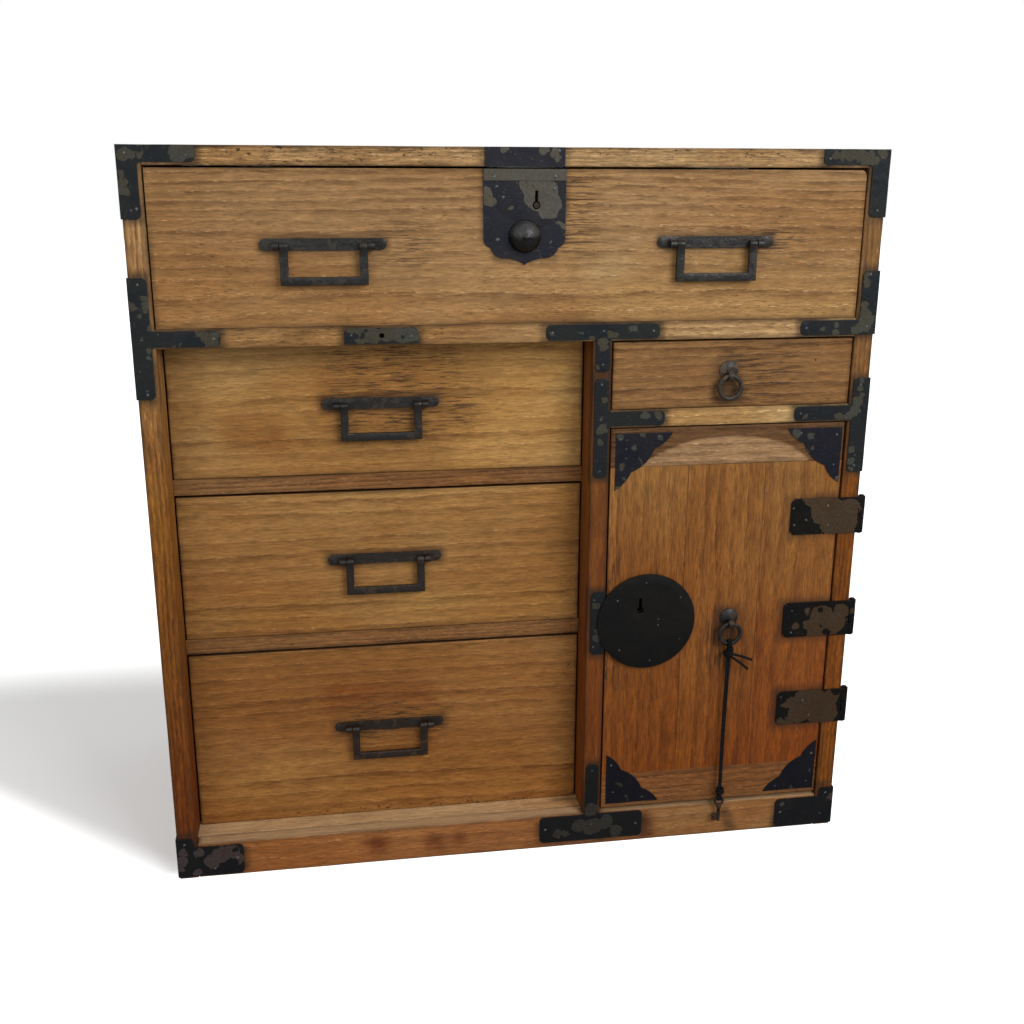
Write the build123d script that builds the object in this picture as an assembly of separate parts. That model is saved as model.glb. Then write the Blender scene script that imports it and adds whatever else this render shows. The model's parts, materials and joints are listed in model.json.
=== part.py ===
"""Isho clothing chest: drawers, a side-hung door and dark iron fittings, in millimetres.

Origin: the middle of the carcass's footprint, on the floor. +Z is up and the front faces -Y.
Left and right are as seen from the front. The closed drawers and door are the rest position.
"""

import math
import os

from build123d import *

# ------------------------------------------------------------ carcass: driving sizes
width = 880.0  # over the two side boards
height = 900.0
depth = 410.0
side_thickness = 24.0
top_thickness = 21.5
back_thickness = 9.0
divider_thickness = 23.0
right_bay_width = 306.0  # between divider and right side board
bottom_rail_height = 47.5
bottom_rail_thickness = 22.0
bottom_board_thickness = 20.0
bearer_width = 60.0  # bearer that the bottom board rests on, front to back
upper_rail_height = 22.5  # rail under the top drawer
small_rail_height = 22.0  # rail under the small drawer
blade_height = 20.0  # rails between the left drawers
rail_depth = 30.0  # front to back
shelf_thickness = 12.0
back_board_count = 4

top_opening = 176.0  # clear heights of the drawer openings
small_opening = 84.0
middle_left_opening = 187.0
lower_left_opening = 241.5
left_recess = 47.0  # the left drawers and their rails stand this far behind the front

# ------------------------------------------------------------ drawers
drawer_side_gap = 1.8
drawer_top_gap = 2.2
running_gap = 0.3  # under a drawer, over its shelf
drawer_back_gap = 1.0
front_setback = 0.5  # drawer fronts behind the carcass's front edge
front_thickness = 20.0
box_side_thickness = 10.0
box_bottom_thickness = 6.0
box_bottom_rise = 2.0  # the bottom's underside above the sides' lower edges
box_side_drop = 8.0  # the sides' upper edges below the front's
box_back_drop = 8.0  # the back's upper edge below the sides'
lap_length = 10.0  # how far the sides enter the front's rebates
top_front_worn_radius = 8.0  # the top drawer's worn upper right corner

# ------------------------------------------------------------ sheet iron
iron = 1.5
bracket_arm = 18.0  # width of the arms on the rails
bracket_upright = 20.0  # width of the arms on the side boards
divider_arm = 17.0  # width of the arms on the divider
bracket_end_radius = 6.0
bracket_inner_radius = 4.0
flange_width = 16.0  # the brackets' return on the side boards
top_corner_reach = 81.0
top_corner_drop = 78.0
rail_bracket_reach = 95.0
rail_bracket_rise = 59.0
lower_tee_rise = 34.0
lower_tee_drop = 68.0
centre_tee_half = 69.0
centre_tee_drop = 37.0
divider_tee_rise = 39.0
divider_tee_drop = 62.0
divider_tee_reach = 68.0
bottom_bracket_reach = 82.0
bottom_bracket_height = 42.0
bottom_bracket_upright = 58.0
bottom_bracket_lift = 3.0
bottom_tee_half = 70.0
bottom_tee_height = 38.0
bottom_tee_lift = 8.0
bottom_tee_top = 120.0
rail_plate_x = -163.5
rail_plate_width = 85.0
rail_plate_hole_radius = 3.0
rail_plate_hole_depth = 14.0
strike_width = 19.0
strike_height = 85.0

# ------------------------------------------------------------ bail handles
handle_plate_length = 141.0
handle_plate_height = 13.0
handle_plate_thickness = 2.5
bail_width = 98.0
bail_drop = 43.0  # pivot to lower edge
bail_bar = 9.5  # bar width, seen from the front
bail_thickness = 6.0
bail_eye_radius = 4.0
bail_pin_radius = 2.0
bail_pin_clearance = 0.08
bail_gap = 0.6  # between the bail's eyes and the plate
lug_gap = 0.5  # between a bail arm and its lug
lug_width = 7.5
lug_radius = 4.2
pivot_drop = 2.0  # pivot below the plate's middle
top_handle_spread = 228.5  # from the lock to each handle of the top drawer
top_handle_rise = 5.0  # plate above the middle of the drawer front
upper_handle_rise = 7.0
middle_handle_rise = 5.0
lower_handle_rise = 9.0

# ------------------------------------------------------------ ring pulls
rosette_radius = 12.0
rosette_edge = 1.5
rosette_height = 5.0
rosette_rise = 6.0  # rosette's middle above the ring's pivot
ring_outer_radius = 16.5
ring_wire_radius = 2.7
ring_standoff = 8.5  # ring's plane in front of the face
ring_hole_clearance = 0.7
tab_width = 6.4
tab_radius = 6.0
small_pull_offset = -6.0  # from the middle of the right bay
small_pull_drop = 2.5  # ring's pivot below the middle of the small drawer's opening
door_pull_offset = 12.75  # from the door's middle line
door_pull_height = 0.4986  # of the door's height

# ------------------------------------------------------------ top lock
lock_x = 3.0
lock_plate_width = 95.0
lock_plate_height = 106.5
lock_band_height = 13.0
lock_band_thickness = 1.0
lock_shoulder_rise = 28.5  # the plate's straight sides end this far above its point
lock_cusp_inset = 8.0
lock_cusp_rise = 19.5
lock_heel_inset = 23.0
lock_heel_rise = 7.5
knob_drop = 74.3  # knob's middle below the drawer front's upper edge
knob_radius = 18.0
knob_skirt = 5.0
knob_dome = 16.0
nipple_radius = 4.5
nipple_length = 4.0
knob_clearance = 0.5
knob_travel = 5.0
knob_backing = 1.0  # free depth left behind the pressed knob
knob_shank_radius = 4.0
shank_clearance = 0.4
top_bolt_width = 20.0
top_bolt_thickness = 5.0
top_bolt_length = 43.5
top_bolt_travel = 8.0
bolt_clearance = 0.3
bolt_setback = 0.6  # a drawn-back bolt ends this far inside its door or drawer
case_thickness = 8.0
case_wall = 1.3
top_case_width = 60.0
top_case_height = 80.0
top_case_drop = 10.0  # below the drawer front's upper edge
mortise_clearance = 1.0
keyhole_radius = 4.6
key_slot_width = 3.6
key_slot_length = 11.5
drill_pin_radius = 3.2
top_keyhole_offset = 13.5  # to the right of the lock's middle line
top_keyhole_drop = 39.8  # below the drawer front's upper edge
keeper_width = 92.0
keeper_top_leaf = 25.0

# ------------------------------------------------------------ door
door_thickness = 20.0
door_setback = 1.0
door_left_gap = 2.0
door_right_gap = 2.5
door_top_gap = 1.5
door_bottom_gap = 5.5
end_board_height = 49.0
door_board_count = 3
tongue_thickness = 6.0
tongue_length = 10.0
corner_plate_reach = 72.0
corner_plate_inset = 6.0
corner_plate_hinge_inset = 3.0
corner_plate_cusp = 2.0
corner_plate_bulge = 2.5

disc_radius = 64.0
disc_inset = 52.0  # disc's middle from the door's left edge
disc_height = 0.514  # of the door's height
disc_edge = 2.2
disc_crown = 1.5
disc_boss_radius = 48.0
disc_clearance = 0.5  # between the disc and the strike plate behind its edge
disc_keyhole_dx = -9.0
disc_keyhole_dz = 16.5
door_bolt_height = 13.0
door_bolt_thickness = 6.0
door_bolt_length = 71.0
door_bolt_travel = 9.0
door_case_inset = 13.0  # from the door's left edge
door_case_width = 75.0
door_case_height = 66.0
door_case_thickness = 14.0
door_case_front_wall = 1.5

# ------------------------------------------------------------ hinges
hinge_height = 48.0
upper_hinge_gap = 20.0  # between the upper strap and the corner plate over it
lower_hinge_gap = 27.5  # between the lower strap and the corner plate under it
middle_hinge_share = 0.472  # of the way from the lower strap to the upper one
strap_thickness = 2.0
strap_clearance = 0.5  # between the strap and the side board's front edge
strap_length = 90.0  # from the carcass's right edge to the strap's left end
strap_end_chamfer = 5.0
crank_start = 30.5  # the strap's bend, from the carcass's right edge
crank_end = 27.0
barrel_radius = 5.0
barrel_gap = 0.4
hinge_pin_radius = 2.0
hinge_pin_clearance = 0.08
hinge_pin_head = 3.2
hinge_pin_head_height = 1.6
knuckle_gap = 0.3
leaf_length = 48.0
leaf_thickness = 2.0
leaf_root_gap = 0.5  # full-height plate of one leaf to the other leaf's barrel

# ------------------------------------------------------------ key and its cord
cord_radius = 2.8  # the doubled cord, both strands together
strand_radius = 1.4
strand_gap = 0.6  # cord loop round the ring's or the key's wire
knot_radius = 5.6
knot_seat = 0.1  # between a knot's end and the cord's
upper_knot_height = 15.0
lower_knot_height = 12.0
key_bow_radius = 5.5
key_bow_wire = 1.7
key_shank_radius = 2.3
key_collar_radius = 3.3
key_collar_height = 2.4
key_shank_length = 24.0
key_bit_reach = 9.0
key_bit_height = 9.5
key_bit_thickness = 2.6
key_bit_notch = 3.0
key_floor_gap = 24.7  # under the hanging key
cord_bend = 1.6  # how far the hanging cord bows to the left
cord_lean = 1.2  # and how far its lower end stays there
upper_tail = ((3.6, -2.0, 5.3), (17.0, -4.5, 2.8), (31.0, -3.0, -4.2))  # from the knot's underside
lower_tail = ((3.2, -2.5, 1.3), (14.0, -5.0, -5.2), (26.0, -3.5, -16.7))

# ------------------------------------------------------------ planes worked out from the sizes
left_in = -width / 2 + side_thickness  # inner faces of the side boards
right_in = width / 2 - side_thickness
divider_right = right_in - right_bay_width
divider_left = divider_right - divider_thickness
front = -depth / 2
back = depth / 2
inner_back = back - back_thickness
top_under = height - top_thickness
rail_top = top_under - top_opening
rail_under = rail_top - upper_rail_height
small_floor = rail_under - small_opening
door_top = small_floor - small_rail_height
floor = bottom_rail_height
lower_blade_under = floor + lower_left_opening
lower_blade_top = lower_blade_under + blade_height
upper_blade_under = lower_blade_top + middle_left_opening
upper_blade_top = upper_blade_under + blade_height

left_bay = (left_in, divider_left)
right_bay = (divider_right, right_in)
left_face = front + left_recess
drawer_face = front + front_setback
door_face = front + door_setback
door_x = (divider_right + door_left_gap, right_in - door_right_gap)
door_z = (floor + door_bottom_gap, door_top - door_top_gap)
door_back = door_face + door_thickness
hinge_x = width / 2 + barrel_gap + barrel_radius
hinge_y = front - strap_clearance - strap_thickness + barrel_radius

door_middle = (door_x[0] + door_x[1]) / 2
door_rise = door_z[1] - door_z[0]
disc_x = door_x[0] + disc_inset
disc_z = door_z[0] + disc_height * door_rise
door_pull_x = door_middle + door_pull_offset
door_pull_z = door_z[0] + door_pull_height * door_rise
small_pull_z = (small_floor + rail_under) / 2 - small_pull_drop
plate_room = corner_plate_inset + corner_plate_reach + hinge_height / 2
lower_hinge_z = door_z[0] + plate_room + lower_hinge_gap
upper_hinge_z = door_z[1] - plate_room - upper_hinge_gap
middle_hinge_z = lower_hinge_z + middle_hinge_share * (upper_hinge_z - lower_hinge_z)
hinge_heights = (lower_hinge_z, middle_hinge_z, upper_hinge_z)
top_front_top = top_under - drawer_top_gap
knob_z = top_front_top - knob_drop
top_keyhole_z = top_front_top - top_keyhole_drop


# ------------------------------------------------------------ helpers
def block(x, y, z):
    """A rectangular piece between the (low, high) pairs x, y and z."""
    low = Pos(x[0], y[0], z[0])
    return low * Box(x[1] - x[0], y[1] - y[0], z[1] - z[0], align=(Align.MIN,) * 3)


def about(middle, length):
    """The (low, high) pair of that length about its middle."""
    return (middle - length / 2, middle + length / 2)


def bar(x, z):
    """A flat rectangular outline between the (low, high) pairs x and z."""
    centre = Pos((x[0] + x[1]) / 2, (z[0] + z[1]) / 2)
    return centre * Rectangle(x[1] - x[0], z[1] - z[0])


def round_corners(outline, radius, corners):
    """Round the outline's corners that lie nearest the given points."""
    picked = [outline.vertices().sort_by_distance(Vector(x, z, 0))[0] for x, z in corners]
    return fillet(picked, radius)


def plate(outline, y, thickness):
    """A flat piece with an outline in X and Z, whose back lies at y and which stands forward."""
    return extrude(Plane.XZ.offset(-y) * outline, thickness, dir=(0, -1, 0))


def turned(profile, x, z):
    """A piece turned about the line through x, z that runs front to back."""
    return Pos(x, 0, z) * revolve(make_face(profile), Axis.Y)


def cap_arc(radius, rim, rise):
    """Profile of a round cap, from its rim to its crown on the axis, bulging forward."""
    ball = (radius**2 + rise**2) / (2 * rise)
    half = math.asin(radius / ball) / 2
    middle = (ball * math.sin(half), rim - rise + ball * (1 - math.cos(half)))
    return ThreePointArc((radius, rim), middle, (0, rim - rise))


def rod_x(x, y, z, radius):
    """A round rod along X between the (low, high) pair x."""
    return Pos((x[0] + x[1]) / 2, y, z) * Rot(0, 90, 0) * Cylinder(radius, x[1] - x[0])


def rod_y(x, y, z, radius):
    """A round rod along Y between the (low, high) pair y."""
    return Pos(x, (y[0] + y[1]) / 2, z) * Rot(90, 0, 0) * Cylinder(radius, y[1] - y[0])


def rod_z(x, y, z, radius):
    """A round rod along Z between the (low, high) pair z."""
    return Pos(x, y, (z[0] + z[1]) / 2) * Cylinder(radius, z[1] - z[0])


nodes = {}


def add(name, *solids):
    """Keep a sub-part under its name: one solid, or a few of the same kind."""
    nodes[name] = solids[0] if len(solids) == 1 else Compound(children=list(solids))


# ------------------------------------------------------------ carcass
def top_board():
    """Top board with the mortise for the lock's bolt and the housing for the keeper's top leaf."""
    board = block((left_in, right_in), (front, back), (top_under, height))
    bolt_y = top_bolt_y()
    mortise = block(
        about(lock_x, top_bolt_width + 2 * mortise_clearance),
        (bolt_y[0] - mortise_clearance, bolt_y[1] + mortise_clearance),
        (top_under, top_bolt_rest() + top_bolt_travel + mortise_clearance),
    )
    housing = block(
        about(lock_x, keeper_width), (front, front + keeper_top_leaf), (height - iron, height)
    )
    return board - mortise - housing


def divider():
    """Upright board between the bays, notched under the rail and mortised for the door's bolt."""
    profile = Polyline(
        (front, floor),
        (inner_back, floor),
        (inner_back, rail_top - shelf_thickness),
        (front + rail_depth, rail_top - shelf_thickness),
        (front + rail_depth, rail_under),
        (front, rail_under),
        close=True,
    )
    board = extrude(Plane.YZ.offset(divider_left) * make_face(profile), divider_thickness)
    bolt_y = door_bolt_y()
    mortise = block(
        (door_bolt_rest() - door_bolt_travel - mortise_clearance, divider_right),
        (bolt_y[0] - mortise_clearance, bolt_y[1] + mortise_clearance),
        about(disc_z, door_bolt_height + 2 * mortise_clearance),
    )
    return board - mortise


def shelf(x, front_edge, top):
    """Thin shelf behind a rail, flush with the rail's upper face."""
    return block(x, (front_edge + rail_depth, inner_back), (top - shelf_thickness, top))


def upper_rail():
    """Rail under the top drawer, with the blind hole behind the lock plate's keeper."""
    rail = block((left_in, right_in), (front, front + rail_depth), (rail_under, rail_top))
    hole_z = (rail_under + rail_top) / 2
    hole = rod_y(rail_plate_x, (front, front + rail_plate_hole_depth), hole_z, rail_plate_hole_radius)
    return rail - hole


def carcass():
    """Boards, rails and shelves."""
    inner = (left_in, right_in)
    add("left_side_board", block((-width / 2, left_in), (front, back), (0, height)))
    add("right_side_board", block((right_in, width / 2), (front, back), (0, height)))
    add("top_board", top_board())
    board_y = (front + bottom_rail_thickness, inner_back)
    board_under = floor - bottom_board_thickness
    add(
        "bottom_board",
        block(inner, board_y, (board_under, floor)),
        block(about(0, bearer_width), board_y, (0, board_under)),
    )
    add("bottom_front_rail", block(inner, (front, front + bottom_rail_thickness), (0, floor)))
    step = top_under / back_board_count
    boards = [
        block(inner, (inner_back, back), (i * step, (i + 1) * step)) for i in range(back_board_count)
    ]
    add("back_boards", *boards)
    add("upper_rail", upper_rail())
    add("upper_shelf", shelf(inner, front, rail_top))
    add("centre_divider", divider())
    add("small_drawer_rail", block(right_bay, (front, front + rail_depth), (door_top, small_floor)))
    add("small_drawer_shelf", shelf(right_bay, front, small_floor))
    blade_y = (left_face, left_face + rail_depth)
    add(
        "left_bay_rails",
        block(left_bay, blade_y, (lower_blade_under, lower_blade_top)),
        block(left_bay, blade_y, (upper_blade_under, upper_blade_top)),
    )
    add(
        "left_bay_shelves",
        shelf(left_bay, left_face, lower_blade_top),
        shelf(left_bay, left_face, upper_blade_top),
    )


# ------------------------------------------------------------ carcass irons
def flange(side, z):
    """Return of an edge bracket on the outer face of a side board; side is -1 or 1."""
    x = sorted((side * width / 2, side * (width / 2 + iron)))
    return block(x, (front - iron, front + flange_width), z)


def top_corner(side):
    """L bracket on a top corner: one arm along the top board, one down the side board."""
    edge = side * width / 2
    inner = edge - side * bracket_upright
    tip = edge - side * top_corner_reach
    arm_z = height - bracket_arm
    low = height - top_corner_drop
    outline = bar(sorted((edge, tip)), (arm_z, height)) + bar(sorted((edge, inner)), (low, height))
    outline = round_corners(outline, bracket_end_radius, [(tip, arm_z), (inner, low)])
    outline = round_corners(outline, bracket_inner_radius, [(inner, arm_z)])
    return plate(outline, front, iron) + flange(side, (low, height))


def edge_tee(side, arm_middle, drop, rise):
    """T or L bracket where a rail meets a side board; its upright runs drop below and rise above."""
    edge = side * width / 2
    inner = edge - side * bracket_upright
    tip = edge - side * rail_bracket_reach
    arm = about(arm_middle, bracket_arm)
    upright = (arm[0] - drop, arm[1] + rise)
    outline = bar(sorted((edge, tip)), arm) + bar(sorted((edge, inner)), upright)
    ends = [(tip, arm[0]), (tip, arm[1]), (inner, upright[1])]
    inside = [(inner, arm[1])]
    if drop > 0:
        ends.append((inner, upright[0]))
        inside.append((inner, arm[0]))
    outline = round_corners(outline, bracket_end_radius, ends)
    outline = round_corners(outline, bracket_inner_radius, inside)
    return plate(outline, front, iron) + flange(side, upright)


def bottom_corner(side):
    """Broad L bracket on a bottom corner."""
    edge = side * width / 2
    inner = edge - side * bracket_upright
    tip = edge - side * bottom_bracket_reach
    low = bottom_bracket_lift
    arm_top = low + bottom_bracket_height
    outline = bar(sorted((edge, tip)), (low, arm_top))
    outline += bar(sorted((edge, inner)), (low, bottom_bracket_upright))
    ends = [(tip, low), (tip, arm_top), (inner, bottom_bracket_upright)]
    outline = round_corners(outline, bracket_end_radius, ends)
    outline = round_corners(outline, bracket_inner_radius, [(inner, arm_top)])
    return plate(outline, front, iron) + flange(side, (low, bottom_bracket_upright))


def centre_tee():
    """T bracket under the top drawer, over the head of the divider."""
    middle = (divider_left + divider_right) / 2
    arm_x = about(middle, 2 * centre_tee_half)
    arm = about((rail_under + rail_top) / 2, bracket_arm)
    stem = about(middle, divider_arm)
    low = rail_under - centre_tee_drop
    outline = bar(arm_x, arm) + bar(stem, (low, arm[1]))
    ends = [(x, z) for x in arm_x for z in arm] + [(x, low) for x in stem]
    outline = round_corners(outline, bracket_end_radius, ends)
    outline = round_corners(outline, bracket_inner_radius, [(x, arm[0]) for x in stem])
    return plate(outline, front, iron)


def divider_tee():
    """Sideways T bracket where the small drawer's rail meets the divider."""
    stem = about((divider_left + divider_right) / 2, divider_arm)
    tip = divider_right + divider_tee_reach
    arm = about((door_top + small_floor) / 2, bracket_arm)
    upright = (door_top - divider_tee_drop, small_floor + divider_tee_rise)
    outline = bar((stem[0], tip), arm) + bar(stem, upright)
    ends = [(tip, z) for z in arm] + [(x, z) for x in stem for z in upright]
    outline = round_corners(outline, bracket_end_radius, ends)
    outline = round_corners(outline, bracket_inner_radius, [(stem[1], z) for z in arm])
    return plate(outline, front, iron)


def bottom_tee():
    """Inverted T bracket at the foot of the divider."""
    middle = (divider_left + divider_right) / 2
    arm_x = about(middle, 2 * bottom_tee_half)
    arm = (bottom_tee_lift, bottom_tee_lift + bottom_tee_height)
    stem = about(middle, divider_arm)
    outline = bar(arm_x, arm) + bar(stem, (arm[0], bottom_tee_top))
    ends = [(x, z) for x in arm_x for z in arm] + [(x, bottom_tee_top) for x in stem]
    outline = round_corners(outline, bracket_end_radius, ends)
    outline = round_corners(outline, bracket_inner_radius, [(x, arm[1]) for x in stem])
    return plate(outline, front, iron)


def rail_lock_plate():
    """Small plate on the upper rail with a round keeper hole."""
    middle_z = (rail_under + rail_top) / 2
    x = about(rail_plate_x, rail_plate_width)
    z = about(middle_z, bracket_arm)
    outline = round_corners(bar(x, z), bracket_end_radius, [(x[0], z[1]), (x[1], z[1])])
    outline -= Pos(rail_plate_x, middle_z) * Circle(rail_plate_hole_radius)
    return plate(outline, front, iron)


def strike_plate():
    """Plate on the divider beside the door's lock; the disc's edge covers its right side."""
    x = (divider_right - strike_width, divider_right)
    z = about(disc_z, strike_height)
    outline = round_corners(bar(x, z), bracket_end_radius, [(x[0], z[0]), (x[0], z[1])])
    return plate(outline, front, iron)


def top_keeper():
    """Keeper over the top lock: a leaf on the top board's front edge and one let in on top."""
    x = about(lock_x, keeper_width)
    face = block(x, (front - iron, front), (top_under, height))
    leaf = block(x, (front, front + keeper_top_leaf), (height - iron, height))
    return face + leaf


def carcass_irons():
    """All the iron that is nailed to the carcass, but for the hinges."""
    rail_middle = (rail_under + rail_top) / 2
    small_middle = (door_top + small_floor) / 2
    add("top_corner_brackets", top_corner(-1), top_corner(1))
    add("bottom_corner_brackets", bottom_corner(-1), bottom_corner(1))
    add("left_rail_bracket", edge_tee(-1, rail_middle, rail_bracket_rise, rail_bracket_rise))
    add(
        "right_rail_brackets",
        edge_tee(1, rail_middle, 0, rail_bracket_rise),
        edge_tee(1, small_middle, lower_tee_drop, lower_tee_rise),
    )
    add("divider_brackets", centre_tee(), divider_tee(), bottom_tee())
    add("rail_lock_plate", rail_lock_plate())
    add("door_strike_plate", strike_plate())
    add("top_lock_keeper", top_keeper())


# ------------------------------------------------------------ hinges
def knuckle(z):
    """Solid barrel of one knuckle between the (low, high) pair z."""
    return rod_z(hinge_x, hinge_y, z, barrel_radius)


def knuckle_spans(middle):
    """The three knuckles' (low, high) pairs, from the bottom up, with gaps between them."""
    low = middle - hinge_height / 2
    step = hinge_height / 3
    lowest = (low, low + step - knuckle_gap)
    central = (low + step, low + 2 * step)
    highest = (low + 2 * step + knuckle_gap, low + hinge_height)
    return lowest, central, highest


def hinge_strap(middle):
    """Strap on the door, cranked over the side board's edge, with the two outer knuckles."""
    lowest, _, highest = knuckle_spans(middle)
    edge = width / 2
    start = edge - strap_length
    step = hinge_x - (edge - crank_end)
    over = front - strap_clearance
    line = Polyline(
        (start, door_face),
        (edge - crank_start, door_face),
        (edge - crank_end, over),
        (edge - crank_end + step, over),
        (edge - crank_end + step, over - strap_thickness),
        (edge - crank_end, over - strap_thickness),
        (edge - crank_start, door_face - strap_thickness),
        (start, door_face - strap_thickness),
        close=True,
    )
    low, high = about(middle, hinge_height)
    strap = extrude(Plane.XY.offset(low) * make_face(line), hinge_height)
    ends = strap.edges().filter_by(Axis.Y).group_by(Axis.X)[0]
    strap = chamfer(ends, strap_end_chamfer)
    root = hinge_x - barrel_radius - leaf_root_gap
    y = (over - strap_thickness - 1, over + 1)
    strap -= block((root, hinge_x + 1), y, (lowest[1], highest[0]))
    strap += knuckle(lowest) + knuckle(highest)
    bore = hinge_pin_radius + hinge_pin_clearance
    return strap - rod_z(hinge_x, hinge_y, (low, high), bore)


def hinge_leaf(middle):
    """Leaf on the right side board with the central knuckle."""
    _, central, _ = knuckle_spans(middle)
    x = (width / 2, width / 2 + leaf_thickness)
    root = hinge_y + barrel_radius + leaf_root_gap
    leaf = block(x, (root, root + leaf_length), about(middle, hinge_height))
    leaf += block(x, (hinge_y, root), central)
    leaf += knuckle(central)
    return leaf - rod_z(hinge_x, hinge_y, central, hinge_pin_radius)


def hinge_pin(middle):
    """Pin through the three knuckles with a head at each end."""
    low, high = about(middle, hinge_height)
    pin = rod_z(hinge_x, hinge_y, (low, high), hinge_pin_radius)
    for end, outside in ((low, low - hinge_pin_head_height), (high, high + hinge_pin_head_height)):
        pin += rod_z(hinge_x, hinge_y, sorted((end, outside)), hinge_pin_head)
    return pin


# ------------------------------------------------------------ drawers
def drawer_spans(opening_x, opening_z):
    """The (low, high) pairs in X and Z of a drawer front in its opening."""
    x = (opening_x[0] + drawer_side_gap, opening_x[1] - drawer_side_gap)
    z = (opening_z[0] + running_gap, opening_z[1] - drawer_top_gap)
    return x, z


def drawer_front(opening_x, opening_z, face):
    """Front board with a rebate at each end for the box's sides."""
    x, z = drawer_spans(opening_x, opening_z)
    board = block(x, (face, face + front_thickness), z)
    rebate_y = (face + front_thickness - lap_length, face + front_thickness)
    side_top = z[1] - box_side_drop
    for end, inner in ((x[0], x[0] + box_side_thickness), (x[1], x[1] - box_side_thickness)):
        board -= block(sorted((end, inner)), rebate_y, (z[0], side_top))
    return board


def drawer_box(opening_x, opening_z, face):
    """Two sides, back and bottom, nailed together and to the front."""
    x, z = drawer_spans(opening_x, opening_z)
    start = face + front_thickness
    end = inner_back - drawer_back_gap
    side_top = z[1] - box_side_drop
    inner = (x[0] + box_side_thickness, x[1] - box_side_thickness)
    side_y = (start - lap_length, end)
    left = block((x[0], inner[0]), side_y, (z[0], side_top))
    right = block((inner[1], x[1]), side_y, (z[0], side_top))
    base = z[0] + box_bottom_rise
    bottom = block(inner, (start, end), (base, base + box_bottom_thickness))
    back_z = (base + box_bottom_thickness, side_top - box_back_drop)
    rear = block(inner, (end - box_side_thickness, end), back_z)
    return left, right, bottom, rear


# ------------------------------------------------------------ handles and pulls
def handle_pivot_y(face):
    """Where a bail's pins run, in front of the face that carries the plate."""
    return face - handle_plate_thickness - bail_gap - bail_eye_radius


def handle_plate(x, plate_z, face):
    """Long plate with rounded ends and a bored lug outside each arm of the bail."""
    outline = Pos(x, plate_z) * SlotOverall(handle_plate_length, handle_plate_height)
    body = plate(outline, face, handle_plate_thickness)
    y = handle_pivot_y(face)
    z = plate_z - pivot_drop
    inner = bail_width / 2 + lug_gap
    for side in (-1, 1):
        span = sorted((x + side * inner, x + side * (inner + lug_width)))
        lug = block(span, (y, face - handle_plate_thickness), about(z, 2 * lug_radius))
        lug += rod_x(span, y, z, lug_radius)
        body += lug
    bore = bail_pin_radius + bail_pin_clearance
    return body - rod_x(about(x, 2 * (inner + lug_width)), y, z, bore)


def bail(x, plate_z, face):
    """Rectangular bail of flat bar with an eye and an outward pin at the head of each arm."""
    y = handle_pivot_y(face)
    z = plate_z - pivot_drop
    thick = about(y, bail_thickness)
    body = block(about(x, bail_width), thick, (z - bail_drop, z))
    body -= block(about(x, bail_width - 2 * bail_bar), thick, (z - bail_drop + bail_bar, z))
    for side in (-1, 1):
        outer = x + side * bail_width / 2
        body += rod_x(sorted((outer, outer - side * bail_bar)), y, z, bail_eye_radius)
        pin_end = outer + side * (lug_gap + lug_width)
        body += rod_x(sorted((outer, pin_end)), y, z, bail_pin_radius)
    return body


def ring_pivot_y(face):
    """Where a ring pull's wire passes through its eye."""
    return face - ring_standoff


def pull_rosette(x, pivot_z, face):
    """Domed rosette with an upright tab, whose eye holds the ring."""
    rim = face - rosette_edge
    profile = Polyline(
        (0, face - rosette_height), (0, face), (rosette_radius, face), (rosette_radius, rim)
    )
    profile += cap_arc(rosette_radius, rim, rosette_height - rosette_edge)
    dome = turned(profile, x, pivot_z + rosette_rise)
    y = ring_pivot_y(face)
    width_x = about(x, tab_width)
    tab = block(width_x, (y, face), about(pivot_z, 2 * tab_radius))
    tab += rod_x(width_x, y, pivot_z, tab_radius)
    eye = rod_x(width_x, y, pivot_z, ring_wire_radius + ring_hole_clearance)
    return dome + tab - eye


def pull_ring(x, pivot_z, face):
    """Round wire ring that hangs in the rosette's eye."""
    radius = ring_outer_radius - ring_wire_radius
    place = Pos(x, ring_pivot_y(face), pivot_z - radius)
    return place * Rot(90, 0, 0) * Torus(radius, ring_wire_radius)


# ------------------------------------------------------------ top lock
def top_case_front():
    """Front face of the top lock's case, which is let in flush with the back of the front."""
    return drawer_face + front_thickness - case_thickness


def top_bolt_y():
    """The (low, high) pair in Y of the top bolt inside its case."""
    start = top_case_front() + case_wall
    return (start, start + top_bolt_thickness)


def top_bolt_rest():
    """Upper end of the top bolt when it is drawn back."""
    return top_front_top - bolt_setback


def top_case_z():
    """The (low, high) pair in Z of the top lock's case."""
    top = top_front_top - top_case_drop
    return (top - top_case_height, top)


def keyhole(x, z):
    """Outline of a keyhole: a round hole with a slot above it."""
    slot = bar(about(x, key_slot_width), (z, z + keyhole_radius + key_slot_length))
    return Pos(x, z) * Circle(keyhole_radius) + slot


def top_bolt_channel(z):
    """Room for the top bolt between the (low, high) pair z."""
    bolt_y = top_bolt_y()
    x = about(lock_x, top_bolt_width + 2 * bolt_clearance)
    return block(x, (bolt_y[0] - bolt_clearance, bolt_y[1] + bolt_clearance), z)


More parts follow.
